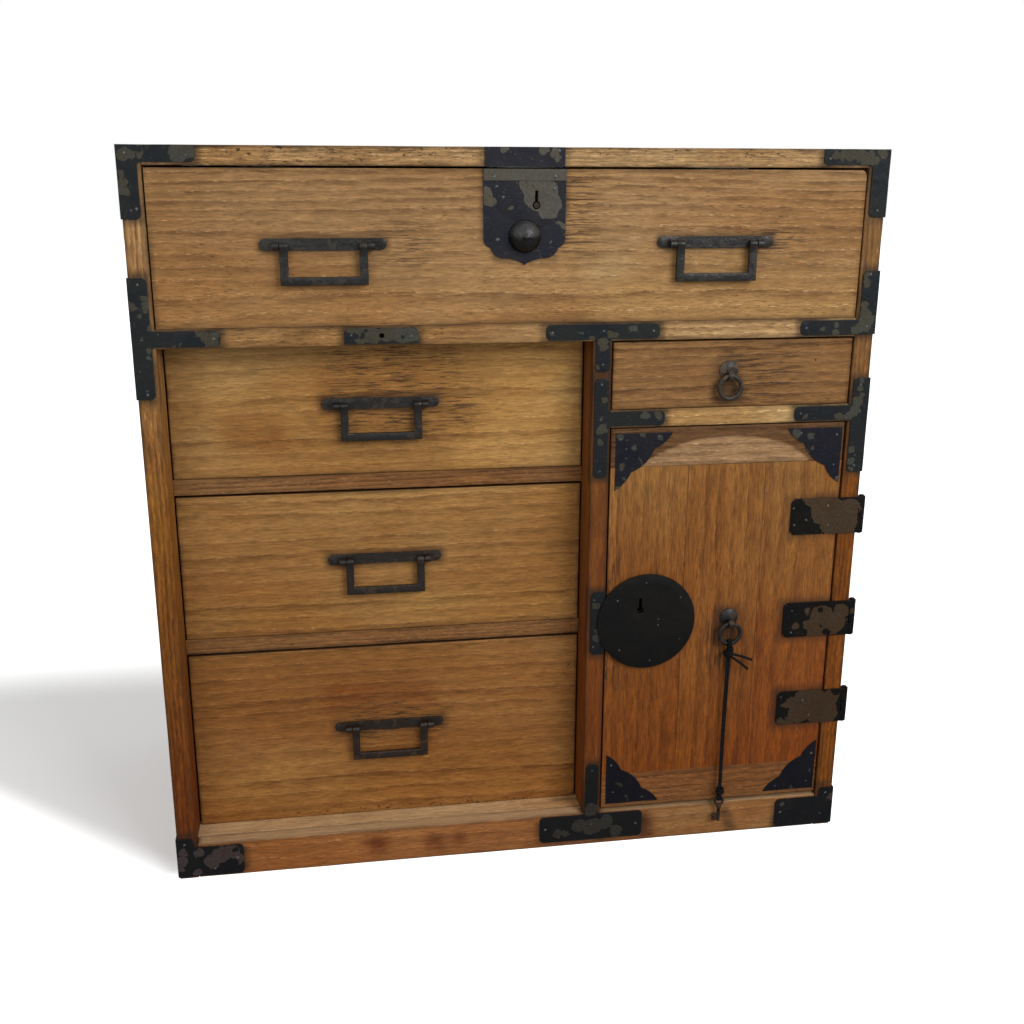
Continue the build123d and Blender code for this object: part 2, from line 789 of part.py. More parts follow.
def top_front():
    """Front of the top drawer with the seats of its lock."""
    opening = (rail_top, top_under)
    board = drawer_front((left_in, right_in), opening, drawer_face)
    x, z = drawer_spans((left_in, right_in), opening)
    corner = board.edges().filter_by(Axis.Y).sort_by_distance(Vector(x[1], drawer_face, z[1]))[0]
    board = fillet(corner, top_front_worn_radius)
    seat_depth = knob_travel + knob_backing + knob_seat_in()
    board -= rod_y(lock_x, (drawer_face, drawer_face + seat_depth), knob_z, knob_radius + knob_clearance)
    case_y = (top_case_front(), drawer_face + front_thickness)
    board -= rod_y(lock_x, (drawer_face, case_y[0]), knob_z, knob_shank_radius + shank_clearance)
    board -= block(about(lock_x, top_case_width), case_y, top_case_z())
    board -= top_bolt_channel((top_case_z()[1], z[1]))
    hole = keyhole(lock_x + top_keyhole_offset, top_keyhole_z)
    board -= plate(hole, case_y[0], case_y[0] - drawer_face)
    return board


def knob_seat_in():
    """How far the knob's skirt reaches behind the drawer's face at rest."""
    return knob_skirt - iron - lock_band_thickness


def lock_plate():
    """Plate with a raised band along its top and an ogee lower edge that ends in a point."""
    top = top_front_top
    low = top - lock_plate_height
    half = lock_plate_width / 2
    shoulder = low + lock_shoulder_rise
    cusp = (half - lock_cusp_inset, low + lock_cusp_rise)
    heel = (half - lock_heel_inset, low + lock_heel_rise)

    def side(sign):
        """One flank of the outline: straight, then two bulges and a hollow to the point."""
        points = {
            "top": (lock_x + sign * half, top),
            "shoulder": (lock_x + sign * half, shoulder),
            "first": (lock_x + sign * (half - 0.28 * lock_cusp_inset), low + 0.8 * lock_shoulder_rise),
            "cusp": (lock_x + sign * cusp[0], cusp[1]),
            "second": (lock_x + sign * (half - 0.59 * lock_heel_inset), low + 0.56 * lock_cusp_rise),
            "heel": (lock_x + sign * heel[0], heel[1]),
            "hollow": (lock_x + sign * heel[0] * 0.42, low + 0.69 * lock_heel_rise),
            "point": (lock_x, low),
        }
        return (
            Line(points["top"], points["shoulder"])
            + ThreePointArc(points["shoulder"], points["first"], points["cusp"])
            + ThreePointArc(points["cusp"], points["second"], points["heel"])
            + ThreePointArc(points["heel"], points["hollow"], points["point"])
        )

    edge = Line((lock_x - half, top), (lock_x + half, top))
    outline = make_face(side(-1) + side(1) + edge)
    outline -= Pos(lock_x, knob_z) * Circle(knob_radius + knob_clearance)
    outline -= keyhole(lock_x + top_keyhole_offset, top_keyhole_z)
    body = plate(outline, drawer_face, iron)
    band = bar(about(lock_x, lock_plate_width), (top - lock_band_height, top))
    return body + plate(band, drawer_face - iron, lock_band_thickness)


def top_lock_case():
    """Case with the bolt's channel, the shank's bore and the pin that stands in the keyhole."""
    y = (top_case_front(), drawer_face + front_thickness)
    case = block(about(lock_x, top_case_width), y, top_case_z())
    channel_low = top_bolt_rest() - top_bolt_length - bolt_clearance
    case -= top_bolt_channel((channel_low, top_case_z()[1]))
    hole = keyhole(lock_x + top_keyhole_offset, top_keyhole_z)
    case -= plate(hole, y[1] - case_wall, case_thickness - case_wall)
    bore_end = y[1] - case_wall / 2
    case -= rod_y(lock_x, (y[0], bore_end), knob_z, knob_shank_radius + shank_clearance)
    pin_x = lock_x + top_keyhole_offset
    return case + rod_y(pin_x, (drawer_face - iron, y[1] - case_wall), top_keyhole_z, drill_pin_radius)


def lock_button():
    """Domed push button with a nipple in front and a shank that reaches into the case."""
    inner = drawer_face + knob_seat_in()
    rim = inner - knob_skirt
    crown = rim - knob_dome
    shank_end = top_case_front() + case_wall
    dome = Polyline(
        (0, crown),
        (0, shank_end),
        (knob_shank_radius, shank_end),
        (knob_shank_radius, inner),
        (knob_radius, inner),
        (knob_radius, rim),
    )
    dome += cap_arc(knob_radius, rim, knob_dome)
    nipple = Polyline(
        (0, crown - nipple_length), (0, rim), (nipple_radius, rim), (nipple_radius, crown)
    )
    nipple += cap_arc(nipple_radius, crown, nipple_length)
    return turned(dome, lock_x, knob_z) + turned(nipple, lock_x, knob_z)


def top_bolt():
    """Flat bolt that the pressed button shoots up into the top board."""
    top = top_bolt_rest()
    return block(about(lock_x, top_bolt_width), top_bolt_y(), (top - top_bolt_length, top))


def drawers():
    """The five drawers with their handles, pulls and the top lock."""
    wide = (left_in, right_in)
    top_z = (rail_top, top_under)
    add("top_drawer_front", top_front())
    add("top_drawer_box", *drawer_box(wide, top_z, drawer_face))
    plate_z = sum(drawer_spans(wide, top_z)[1]) / 2 + top_handle_rise
    left_x = lock_x - top_handle_spread
    right_x = lock_x + top_handle_spread
    add(
        "top_drawer_handle_plates",
        handle_plate(left_x, plate_z, drawer_face),
        handle_plate(right_x, plate_z, drawer_face),
    )
    add("top_left_bail", bail(left_x, plate_z, drawer_face))
    add("top_right_bail", bail(right_x, plate_z, drawer_face))
    add("top_lock_plate", lock_plate())
    add("top_lock_case", top_lock_case())
    add("top_lock_button", lock_button())
    add("top_lock_bolt", top_bolt())

    small_z = (small_floor, rail_under)
    small_x = sum(right_bay) / 2 + small_pull_offset
    add("small_drawer_front", drawer_front(right_bay, small_z, drawer_face))
    add("small_drawer_box", *drawer_box(right_bay, small_z, drawer_face))
    add("small_drawer_rosette", pull_rosette(small_x, small_pull_z, drawer_face))
    add("small_drawer_ring", pull_ring(small_x, small_pull_z, drawer_face))

    left_middle = sum(left_bay) / 2
    openings = {
        "upper": ((upper_blade_top, rail_under), upper_handle_rise),
        "middle": ((lower_blade_top, upper_blade_under), middle_handle_rise),
        "lower": ((floor, lower_blade_under), lower_handle_rise),
    }
    for level, (opening, rise) in openings.items():
        add(f"{level}_drawer_front", drawer_front(left_bay, opening, left_face))
        add(f"{level}_drawer_box", *drawer_box(left_bay, opening, left_face))
        handle_z = sum(drawer_spans(left_bay, opening)[1]) / 2 + rise
        add(f"{level}_handle_plate", handle_plate(left_middle, handle_z, left_face))
        add(f"{level}_bail", bail(left_middle, handle_z, left_face))


# ------------------------------------------------------------ door
def door_bolt_rest():
    """Left end of the door's bolt when it is drawn back."""
    return door_x[0] + bolt_setback


def door_case_front():
    """Front face of the door's lock case, which is let in flush with the door's back."""
    return door_back - door_case_thickness


def door_bolt_y():
    """The (low, high) pair in Y of the door's bolt inside its case."""
    start = door_case_front() + door_case_front_wall
    return (start, start + door_bolt_thickness)


def door_bolt_channel(x):
    """Room for the door's bolt between the (low, high) pair x."""
    bolt_y = door_bolt_y()
    y = (bolt_y[0] - bolt_clearance, bolt_y[1] + bolt_clearance)
    return block(x, y, about(disc_z, door_bolt_height + 2 * bolt_clearance))


def door_case_x():
    """The (low, high) pair in X of the door's lock case."""
    start = door_x[0] + door_case_inset
    return (start, start + door_case_width)


def door_boards():
    """Upright boards with a tongue at each end, cut out for the lock."""
    z = (door_z[0] + end_board_height, door_z[1] - end_board_height)
    tongue_y = about((door_face + door_back) / 2, tongue_thickness)
    step = (door_x[1] - door_x[0]) / door_board_count
    case = block(door_case_x(), (door_case_front(), door_back), about(disc_z, door_case_height))
    channel = door_bolt_channel((door_x[0], door_case_x()[0]))
    hole_outline = keyhole(disc_x + disc_keyhole_dx, disc_z + disc_keyhole_dz)
    hole = plate(hole_outline, door_case_front(), door_case_front() - door_face)
    boards = []
    for i in range(door_board_count):
        x = (door_x[0] + i * step, door_x[0] + (i + 1) * step)
        board = block(x, (door_face, door_back), z)
        board += block(x, tongue_y, (z[0] - tongue_length, z[1] + tongue_length))
        boards.append(board - case - channel - hole)
    return boards


def door_end_boards():
    """Breadboard ends, grooved for the boards' tongues."""
    tongue_y = about((door_face + door_back) / 2, tongue_thickness)
    low = (door_z[0], door_z[0] + end_board_height)
    high = (door_z[1] - end_board_height, door_z[1])
    bottom = block(door_x, (door_face, door_back), low)
    bottom -= block(door_x, tongue_y, (low[1] - tongue_length, low[1]))
    top = block(door_x, (door_face, door_back), high)
    top -= block(door_x, tongue_y, (high[0], high[0] + tongue_length))
    return bottom, top


def corner_plate(x, z, toward_x, toward_z):
    """Three-cornered plate with its right angle at x, z; its long edge is three bulges."""
    reach = corner_plate_reach

    def at(along, outward):
        """A point along the long edge, moved outward from the right angle."""
        off = outward / math.sqrt(2)
        return (x + toward_x * (reach * (1 - along) + off), z + toward_z * (reach * along + off))

    first = at(0.3, -corner_plate_cusp)
    second = at(0.7, -corner_plate_cusp)
    edge = (
        Polyline(at(1, 0), (x, z), at(0, 0))
        + ThreePointArc(at(0, 0), at(0.16, corner_plate_bulge - 1), first)
        + ThreePointArc(first, at(0.5, corner_plate_bulge), second)
        + ThreePointArc(second, at(0.84, corner_plate_bulge - 1), at(1, 0))
    )
    return plate(make_face(edge), door_face, iron)


def door_corner_plates():
    """Four ogee corner plates of the door."""
    left = door_x[0] + corner_plate_inset
    right = door_x[1] - corner_plate_hinge_inset
    top = door_z[1] - corner_plate_inset
    bottom = door_z[0] + corner_plate_inset
    return (
        corner_plate(left, top, 1, -1),
        corner_plate(right, top, -1, -1),
        corner_plate(left, bottom, 1, 1),
        corner_plate(right, bottom, -1, 1),
    )


def lock_disc():
    """Crowned disc on a boss, which holds its edge clear of the strike plate."""
    rear = front - iron - disc_clearance
    rim = rear - disc_edge
    crown = rim - disc_crown
    profile = Polyline(
        (0, crown),
        (0, door_face),
        (disc_boss_radius, door_face),
        (disc_boss_radius, rear),
        (disc_radius, rear),
        (disc_radius, rim),
    )
    profile += cap_arc(disc_radius, rim, disc_crown)
    disc = turned(profile, disc_x, disc_z)
    hole = keyhole(disc_x + disc_keyhole_dx, disc_z + disc_keyhole_dz)
    return disc - plate(hole, door_face, door_face - crown)


def door_lock_case():
    """Case behind the disc with the bolt's channel."""
    y = (door_case_front(), door_back)
    case = block(door_case_x(), y, about(disc_z, door_case_height))
    channel_end = door_bolt_rest() + door_bolt_length + bolt_clearance
    hole = keyhole(disc_x + disc_keyhole_dx, disc_z + disc_keyhole_dz)
    case -= plate(hole, y[1] - case_wall, door_case_thickness - case_wall)
    return case - door_bolt_channel((door_case_x()[0], channel_end))


def door_bolt():
    """Flat bolt that slides left into the divider."""
    x = (door_bolt_rest(), door_bolt_rest() + door_bolt_length)
    return block(x, door_bolt_y(), about(disc_z, door_bolt_height))


def door():
    """The door with its lock, pull and hinge straps."""
    add("door_boards", *door_boards())
    add("door_end_boards", *door_end_boards())
    add("door_corner_plates", *door_corner_plates())
    add("door_lock_disc", lock_disc())
    add("door_lock_case", door_lock_case())
    add("door_lock_bolt", door_bolt())
    add("door_rosette", pull_rosette(door_pull_x, door_pull_z, door_face))
    add("door_ring", pull_ring(door_pull_x, door_pull_z, door_face))
    add("door_hinge_straps", *[hinge_strap(z) for z in hinge_heights])
    add("hinge_side_leaves", *[hinge_leaf(z) for z in hinge_heights])
    add("hinge_pins", *[hinge_pin(z) for z in hinge_heights])


# ------------------------------------------------------------ key and its cord
cord_y = ring_pivot_y(door_face)
ring_low_z = door_pull_z - 2 * (ring_outer_radius - ring_wire_radius)
ring_loop = ring_wire_radius + strand_gap + strand_radius  # radius of the cord's loop round the ring
upper_knot_z = (
    ring_low_z - ring_loop - upper_knot_height,
    ring_low_z - ring_loop,
)
key_loop = key_bow_wire + strand_gap + strand_radius
key_bow_top = key_floor_gap + key_shank_length + 2 * key_bow_radius  # middle of the wire there
lower_knot_z = (key_bow_top + key_loop, key_bow_top + key_loop + lower_knot_height)
key_x = door_pull_x - cord_lean
cord_top = upper_knot_z[0] - knot_seat
cord_foot = lower_knot_z[1] + knot_seat
cord_route = (
    (door_pull_x, cord_y, cord_top),
    (door_pull_x - cord_bend, cord_y - cord_bend / 3, (cord_top + cord_foot) / 2),
    (key_x, cord_y, cord_foot),
)


def corner_radii(route):
    """Arc radius at each inner point of a route: as large as its two runs allow."""
    radii = []
    for before, here, after in zip(route, route[1:], route[2:]):
        first = Vector(*here) - Vector(*before)
        second = Vector(*after) - Vector(*here)
        half_turn = math.radians(first.get_angle(second)) / 2
        radii.append(0.45 * min(first.length, second.length) / math.tan(half_turn))
    return radii


def tube(route, radius):
    """A round cord along a route of straight runs joined by tangent arcs."""
    radii = corner_radii(route)
    path = FilletPolyline(*route, radius=radii)
    print("cord radii", [round(r, 1) for r in radii], "length", round(path.length, 1))
    section = Plane(origin=path @ 0, z_dir=path % 0) * Circle(radius)
    return sweep(section, path=path)


def knot(x, z, radius):
    """A wrapped knot about the upright line at x: three rounded turns, one above the other."""
    low, high = z
    turn = (high - low) / 3
    neck = radius * 0.82
    profile = Polyline((0, high), (0, low), (neck * 0.6, low))
    start = (neck * 0.6, low)
    for i in range(3):
        end = (neck if i < 2 else neck * 0.6, low + (i + 1) * turn)
        profile += ThreePointArc(start, (radius, low + (i + 0.5) * turn), end)
        start = end
    profile += Line(start, (0, high))
    return Pos(x, cord_y, 0) * revolve(make_face(Plane.XZ * profile), Axis.Z)


def cord_loop(x, z, loop):
    """Two strands side by side round a wire that runs along X."""
    both = None
    for side in (-1, 1):
        place = Pos(x + side * strand_radius * 0.96, cord_y, z) * Rot(0, 90, 0)
        strand = place * Torus(loop, strand_radius)
        both = strand if both is None else both + strand
    return both


def key():
    """Iron key: round bow, collar, shank and a notched bit at its left."""
    bow_z = key_bow_top - key_bow_radius
    bow = Pos(key_x, cord_y, bow_z) * Rot(90, 0, 0) * Torus(key_bow_radius, key_bow_wire)
    shank_top = bow_z - key_bow_radius
    shank_low = shank_top - key_shank_length
    body = bow + rod_z(key_x, cord_y, (shank_low, shank_top), key_shank_radius)
    collar = (shank_top - key_collar_height - 1, shank_top - 1)
    body += rod_z(key_x, cord_y, collar, key_collar_radius)
    bit_z = (shank_low + 1, shank_low + 1 + key_bit_height)
    bit = block((key_x - key_bit_reach, key_x), about(cord_y, key_bit_thickness), bit_z)
    notch_x = (key_x - key_bit_reach, key_x - key_bit_reach + key_bit_notch)
    notch_z = about(sum(bit_z) / 2, key_bit_notch / 2)
    bit -= block(notch_x, about(cord_y, key_bit_thickness), notch_z)
    return body + bit


def key_on_cord():
    """The doubled cord, its two knots with loops and tails, and the key."""
    add("key_cord", tube(cord_route, cord_radius))
    upper = knot(door_pull_x, upper_knot_z, knot_radius)
    upper += cord_loop(door_pull_x, ring_low_z, ring_loop)
    start = Vector(door_pull_x, cord_y, upper_knot_z[0])
    for tail in (upper_tail, lower_tail):
        upper += tube([tuple(start + Vector(*point)) for point in tail], strand_radius)
    lower = knot(key_x, lower_knot_z, knot_radius) + cord_loop(key_x, key_bow_top, key_loop)
    add("key_cord_knots", upper, lower)
    add("key", key())


# ------------------------------------------------------------ build and write
carcass()
carcass_irons()
drawers()
door()
key_on_cord()

os.makedirs("parts", exist_ok=True)
for name, shape in nodes.items():
    export_step(shape, f"parts/{name}.step")
print(len(nodes), "nodes written")
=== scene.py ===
# %% [markdown]
# # A clothing chest of wood and black iron
# This lesson dresses a measured chest: boards get grain and worn edges, sheet iron gets patches and
# nails, and a key hangs on a cord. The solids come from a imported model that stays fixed. Each new
# piece is put exactly where its solid is, so nothing has to be fitted by eye.

# %% Load the chest and keep its size
import json
import math
import random

import bmesh
import bpy
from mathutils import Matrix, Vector, noise


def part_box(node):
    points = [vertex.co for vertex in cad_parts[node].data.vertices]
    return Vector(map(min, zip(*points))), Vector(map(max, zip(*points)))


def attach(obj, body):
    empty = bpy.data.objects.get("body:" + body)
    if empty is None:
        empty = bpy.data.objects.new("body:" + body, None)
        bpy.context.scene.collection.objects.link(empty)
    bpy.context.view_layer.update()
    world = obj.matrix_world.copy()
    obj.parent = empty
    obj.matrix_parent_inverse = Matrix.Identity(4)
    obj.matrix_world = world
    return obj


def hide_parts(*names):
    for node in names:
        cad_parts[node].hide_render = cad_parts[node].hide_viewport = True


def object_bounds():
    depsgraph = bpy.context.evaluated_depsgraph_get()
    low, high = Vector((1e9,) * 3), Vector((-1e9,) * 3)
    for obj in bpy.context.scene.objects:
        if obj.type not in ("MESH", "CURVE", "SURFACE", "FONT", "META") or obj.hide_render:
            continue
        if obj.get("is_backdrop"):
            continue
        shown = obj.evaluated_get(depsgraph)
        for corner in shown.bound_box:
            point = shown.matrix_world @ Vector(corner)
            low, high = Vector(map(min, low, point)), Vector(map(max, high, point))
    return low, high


noise.seed_set(5)  # otherwise mathutils draws its noise anew in each session
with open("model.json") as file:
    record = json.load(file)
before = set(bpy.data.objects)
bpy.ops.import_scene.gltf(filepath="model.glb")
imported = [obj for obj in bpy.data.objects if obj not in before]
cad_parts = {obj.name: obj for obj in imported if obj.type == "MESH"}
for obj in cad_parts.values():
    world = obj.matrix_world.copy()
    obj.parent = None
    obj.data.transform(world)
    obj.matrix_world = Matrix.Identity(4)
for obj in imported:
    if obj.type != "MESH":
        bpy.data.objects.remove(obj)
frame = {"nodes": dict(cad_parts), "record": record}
nodes = frame["nodes"]
bodies = frame["record"]["behaviour"]["bodies"]
body_of = {node: body for body, group in bodies.items() for node in group}
slot_of = {part["node"]: part["material_slot"] for part in frame["record"]["subparts"]}
cad_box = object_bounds()
print("solids:", len(nodes), "size of the chest:", [round(s, 3) for s in cad_box[1] - cad_box[0]])

# %% [markdown]
# ## The camera
# A chest is looked at from a standing height, a little from the left. The lens is a normal one, so
# the sides draw in towards the floor. Its place and turn are plain numbers in metres and radians.

# %% Camera
eye = bpy.data.objects.new("eye", bpy.data.cameras.new("eye"))
eye.data.lens = 41.084
eye.data.clip_end = 50
eye.location = (-0.2298, -1.5608, 0.8770)
eye.rotation_euler = (1.284596, -0.003798, -0.159255)
bpy.context.scene.collection.objects.link(eye)
bpy.context.scene.camera = eye
print("camera stands", round((eye.location - Vector((0, -0.205, 0.45))).length, 2), "m from the front")

# %% [markdown]
# ## A helper that files a finished piece
# Every piece is made in bmesh, in metres, where the chest needs it. This helper writes the mesh,
# shades it smooth except over sharp edges, lets it ride on its body and hides the solid it stands
# for. The object stays at the origin, because the finishes read Object coordinates.


# %% File a piece
def file_piece(name, mesh, body, finish, smooth=35, stands_for=()):
    """Make an object of a bmesh and let it ride on a body."""
    for vert in [vert for vert in mesh.verts if not vert.link_faces]:
        mesh.verts.remove(vert)
    data = bpy.data.meshes.new(name)
    mesh.to_mesh(data)
    mesh.free()
    data.materials.append(finish)
    if smooth:
        data.shade_smooth()
        data.set_sharp_from_angle(angle=math.radians(smooth))
    piece = bpy.data.objects.new(name, data)
    bpy.context.scene.collection.objects.link(piece)
    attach(piece, body)
    if stands_for:
        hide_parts(*stands_for)
    print(name, "has", len(data.polygons), "faces")
    return piece


# %% [markdown]
# ## Recipes for finishes
# A finish is a net of shader nodes. Written out one by one the nodes hide the idea, so a small class
# adds them: each call puts one node in and hands back its output, ready to be used by the next.


# %% Recipe
front_face, recessed_face = -0.2, -0.158  # depths of the front boards and of the left drawers
box_depth = 0.008  # a mark on the front reaches this far in


class Recipe:
    """One finish in the making; every call adds a node and returns its output."""

    def __init__(self, name, **fixed):
        self.finish = bpy.data.materials.new(name)
        self.finish.use_nodes = True
        self.tree = self.finish.node_tree
        self.shader = self.tree.nodes["Principled BSDF"]
        for socket, value in fixed.items():
            self.shader.inputs[socket.replace("_", " ")].default_value = value
        self.place = self.add("ShaderNodeTexCoord", "Object", {})
        self.wide = self.add("ShaderNodeSeparateXYZ", "X", {"Vector": self.place})
        self.high = self.add("ShaderNodeSeparateXYZ", "Z", {"Vector": self.place})
        self.deep = self.add("ShaderNodeSeparateXYZ", "Y", {"Vector": self.place})

    def add(self, kind, output, sockets, **settings):
        node = self.tree.nodes.new(kind)
        for key, value in settings.items():
            setattr(node, key, value)
        for socket, value in sockets.items():
            self.feed(node.inputs[socket], value)
        return node.outputs[output]

    def feed(self, socket, value):
        if isinstance(value, bpy.types.NodeSocket):
            self.tree.links.new(value, socket)
        elif isinstance(value, tuple) and len(value) == 3 and socket.type == "RGBA":
            socket.default_value = (*value, 1)
        else:
            socket.default_value = value

    def own(self, name):
        """A number that the mesh itself carries."""
        return self.add("ShaderNodeAttribute", "Fac", {}, attribute_name=name)

    def calc(self, how, *values):
        sockets = dict(enumerate(values))
        return self.add("ShaderNodeMath", 0, sockets, operation=how)

    def vector(self, how, *values, output=0):
        sockets = dict(enumerate(values))
        return self.add("ShaderNodeVectorMath", output, sockets, operation=how)

    def stretch(self, place, scale):
        return self.vector("MULTIPLY", place, scale)

    def grain_of(self, place, scale=1.0, detail=2.0, roughness=0.5, output="Fac"):
        sockets = {"Vector": place, "Scale": scale, "Detail": detail, "Roughness": roughness}
        return self.add("ShaderNodeTexNoise", output, sockets)

    def span(self, value, low, high, to_low=0.0, to_high=1.0):
        """Spread the values between low and high smoothly over a new range."""
        given = {"Value": value, "From Min": low, "From Max": high, "To Min": to_low,
                 "To Max": to_high}
        return self.add("ShaderNodeMapRange", "Result", given, interpolation_type="SMOOTHSTEP")

    def mix(self, amount, first, second, how="MIX"):
        node = self.tree.nodes.new("ShaderNodeMix")
        node.data_type = "RGBA"
        node.blend_type = how
        for socket, value in ((0, amount), (6, first), (7, second)):
            self.feed(node.inputs[socket], value)
        return node.outputs[2]

    def times(self, a, b):
        """Multiply two numbers."""
        return self.calc("MULTIPLY", a, b)

    def paint(self, name, value):
        """Feed a socket of the shader."""
        self.feed(self.shader.inputs[name], value)

    def height(self, value, distance, strength=1.0):
        sockets = {"Height": value, "Distance": distance, "Strength": strength}
        self.paint("Normal", self.add("ShaderNodeBump", "Normal", sockets))

    def near(self, boxes, reach, place=None, front=front_face):
        """1 on the given front boxes (x0, z0, x1, z1 in metres), falling to 0 at reach."""
        place = place or self.place
        total = None
        for x0, z0, x1, z1 in boxes:
            middle = ((x0 + x1) / 2, front, (z0 + z1) / 2)
            half = ((x1 - x0) / 2, box_depth, (z1 - z0) / 2)
            away = self.vector("ABSOLUTE", self.vector("SUBTRACT", place, middle))
            away = self.vector("MAXIMUM", self.vector("SUBTRACT", away, half), (0.0, 0.0, 0.0))
            away = self.vector("MULTIPLY", away, (1.0, 3.0, 1.0))
            close = self.span(self.vector("LENGTH", away, output="Value"), 0.0, reach, 1.0, 0.0)
            total = close if total is None else self.calc("MAXIMUM", total, close)
        return total


def tint(red, green, blue):
    """A colour from 0-255 values, as the linear numbers that shaders use."""
    return tuple(((c / 255 + 0.055) / 1.055) ** 2.4 for c in (red, green, blue))


def mm(*boxes):
    """Boxes given in millimetres, as metres."""
    return [tuple(side / 1000 for side in box) for box in boxes]


print("recipe helpers ready")

# %% [markdown]
# ## Wood
# The boards are light, coarse wood. Growth rings are what the eye reads first. They are rings round
# the middle of the tree, so a shader measures the distance to that line and repeats a ramp that
# darkens slowly and stops sharply, once for each year. A recipe for boards knows which way its grain
# runs. It stretches every noise along the grain and keeps the colour that has been mixed so far.


# %% Board recipe
class Board(Recipe):
    """A wood finish in the making, with its grain along one axis and its colour so far."""

    def __init__(self, name, grain, planks, turned_sides):
        super().__init__(name, Specular_IOR_Level=0.2)
        self.axis = "XYZ".index(grain)
        self.joint = None
        if turned_sides:
            self.turn_sides()
        self.plank = self.own("plank")
        if planks:
            self.count_planks(*planks)
        self.in_plank = self.vector("MULTIPLY_ADD", self.plank, (1.7, 2.9, 0.83), self.place)

    def turn_sides(self):
        """On faces that look sideways, let the grain run front to back."""
        facing = self.add("ShaderNodeTexCoord", "Normal", {})
        facing = self.add("ShaderNodeSeparateXYZ", "X", {"Vector": facing})
        sideways = self.calc("GREATER_THAN", self.calc("ABSOLUTE", facing), 0.7)
        swapped = {"X": self.deep, "Y": self.wide, "Z": self.high}
        swapped = self.add("ShaderNodeCombineXYZ", "Vector", swapped)
        turn = self.vector("SUBTRACT", swapped, self.place)
        self.place = self.vector("MULTIPLY_ADD", turn, sideways, self.place)

    def count_planks(self, across, first, wide):
        """Number equal boards side by side and find the joints between them."""
        row = self.wide if across == "X" else self.high
        count = self.calc("DIVIDE", self.calc("SUBTRACT", row, first), wide)
        self.plank = self.times(self.calc("FLOOR", count), 0.37)
        from_middle = self.calc("FRACT", self.calc("ADD", count, 0.5))
        from_joint = self.calc("ABSOLUTE", self.calc("SUBTRACT", from_middle, 0.5))
        self.joint = self.span(from_joint, 0.0009 / wide, 0.0003 / wide, 0.0, 0.55)

    def along(self, length, across):
        """One number along the grain and another across it."""
        scale = [across] * 3
        scale[self.axis] = length
        return tuple(scale)

    def streaks(self, length, across, detail=2, roughness=0.5, output="Fac"):
        """Noise stretched along the grain."""
        place = self.stretch(self.in_plank, self.along(length, across))
        return self.grain_of(place, 1.0, detail, roughness, output)

    def cover(self, amount, colour):
        self.colour = self.mix(amount, self.colour, colour)

    def tone(self, factor, amount=None):
        """Multiply the colour so far, everywhere or only by an amount."""
        toned = self.mix(1.0, self.colour, factor, "MULTIPLY")
        self.colour = toned if amount is None else self.mix(amount, self.colour, toned)


def darker(colour, share):
    return tuple(c * share for c in colour)


print("board helpers ready")

# %% [markdown]
# Cut near the middle of the tree, the rings come out as broad bands, further out as narrow ones. Some
# years are darker than others, and the dark line is broken where the blade tore it. Fine fibres, short
# pale flecks and dark pores lie over the rings.


# %% Grain
def grow(b, pale, deep, heart, rings, ring_depth, bend, fibre, flecks, dirt):
    """Colour a board as the tree grew. Hand back its dark late wood and its pores."""
    b.wander = b.vector("SUBTRACT", b.streaks(1.5, 6, output="Color"), (0.5, 0.5, 0.5))
    bent = b.vector("MULTIPLY_ADD", b.wander, (bend, bend, bend), b.place)
    from_heart = b.vector("MULTIPLY", b.vector("SUBTRACT", bent, heart), b.along(0.0, 1.0))
    years = b.times(b.vector("LENGTH", from_heart, output="Value"), rings)
    years = b.calc("MULTIPLY_ADD", b.plank, 0.618, years)
    years = b.calc("MULTIPLY_ADD", b.streaks(22, 80, 3), 0.4, years)
    part = b.calc("FRACT", years)
    season = b.times(b.span(part, 0.1, 0.95), b.span(part, 1.0, 0.94))
    broken = b.span(b.streaks(20, 140, 3), 0.36, 0.6, 0.35, 1.15)
    whole = {"W": b.calc("FLOOR", years)}
    dark_year = b.add("ShaderNodeTexWhiteNoise", "Value", whole, noise_dimensions="1D")
    dark_year = b.span(dark_year, 0.0, 1.0, 0.4, 1.0)
    late = b.times(b.times(season, broken), dark_year)
    ring_edge = b.span(b.calc("ABSOLUTE", b.calc("SUBTRACT", part, 0.5)), 0.3, 0.46)

    b.fibres = b.streaks(48, 430, 4, 0.75)
    b.blotch = b.streaks(7, 22, 4, 0.65)
    clouds = b.streaks(3, 7, 3)
    dashes = b.streaks(115, 700, 2, 0.6)
    b.colour = b.mix(b.times(late, ring_depth), pale, deep)
    b.tone((1.0, 0.88, 0.72), b.span(clouds, 0.4, 0.6))
    b.tone(b.span(clouds, 0.3, 0.7, 1.14, 0.9))
    b.tone(b.span(b.blotch, 0.3, 0.7, 0.9, 1.1))
    b.tone(b.span(b.fibres, 0.28, 0.72, 1 - 1.4 * fibre, 1 + fibre))
    at_rings = b.calc("MULTIPLY_ADD", ring_edge, 0.8, 0.2)
    fleck = b.times(b.span(dashes, 0.56, 0.68), at_rings)
    b.cover(b.times(fleck, flecks), tuple(min(1.0, c * 1.7 + 0.06) for c in pale))
    in_blotches = b.times(flecks, b.span(b.blotch, 0.45, 0.6, 0.2, 1.0))
    pore = b.times(b.span(dashes, 0.4, 0.3), in_blotches)
    b.cover(pore, darker(deep, 0.4))
    grime = b.times(b.span(b.blotch, 0.58, 0.72), dirt)
    grime = b.times(grime, b.span(b.fibres, 0.4, 0.6, 0.3, 1.0))
    b.cover(grime, darker(deep, 0.3))
    return late, pore
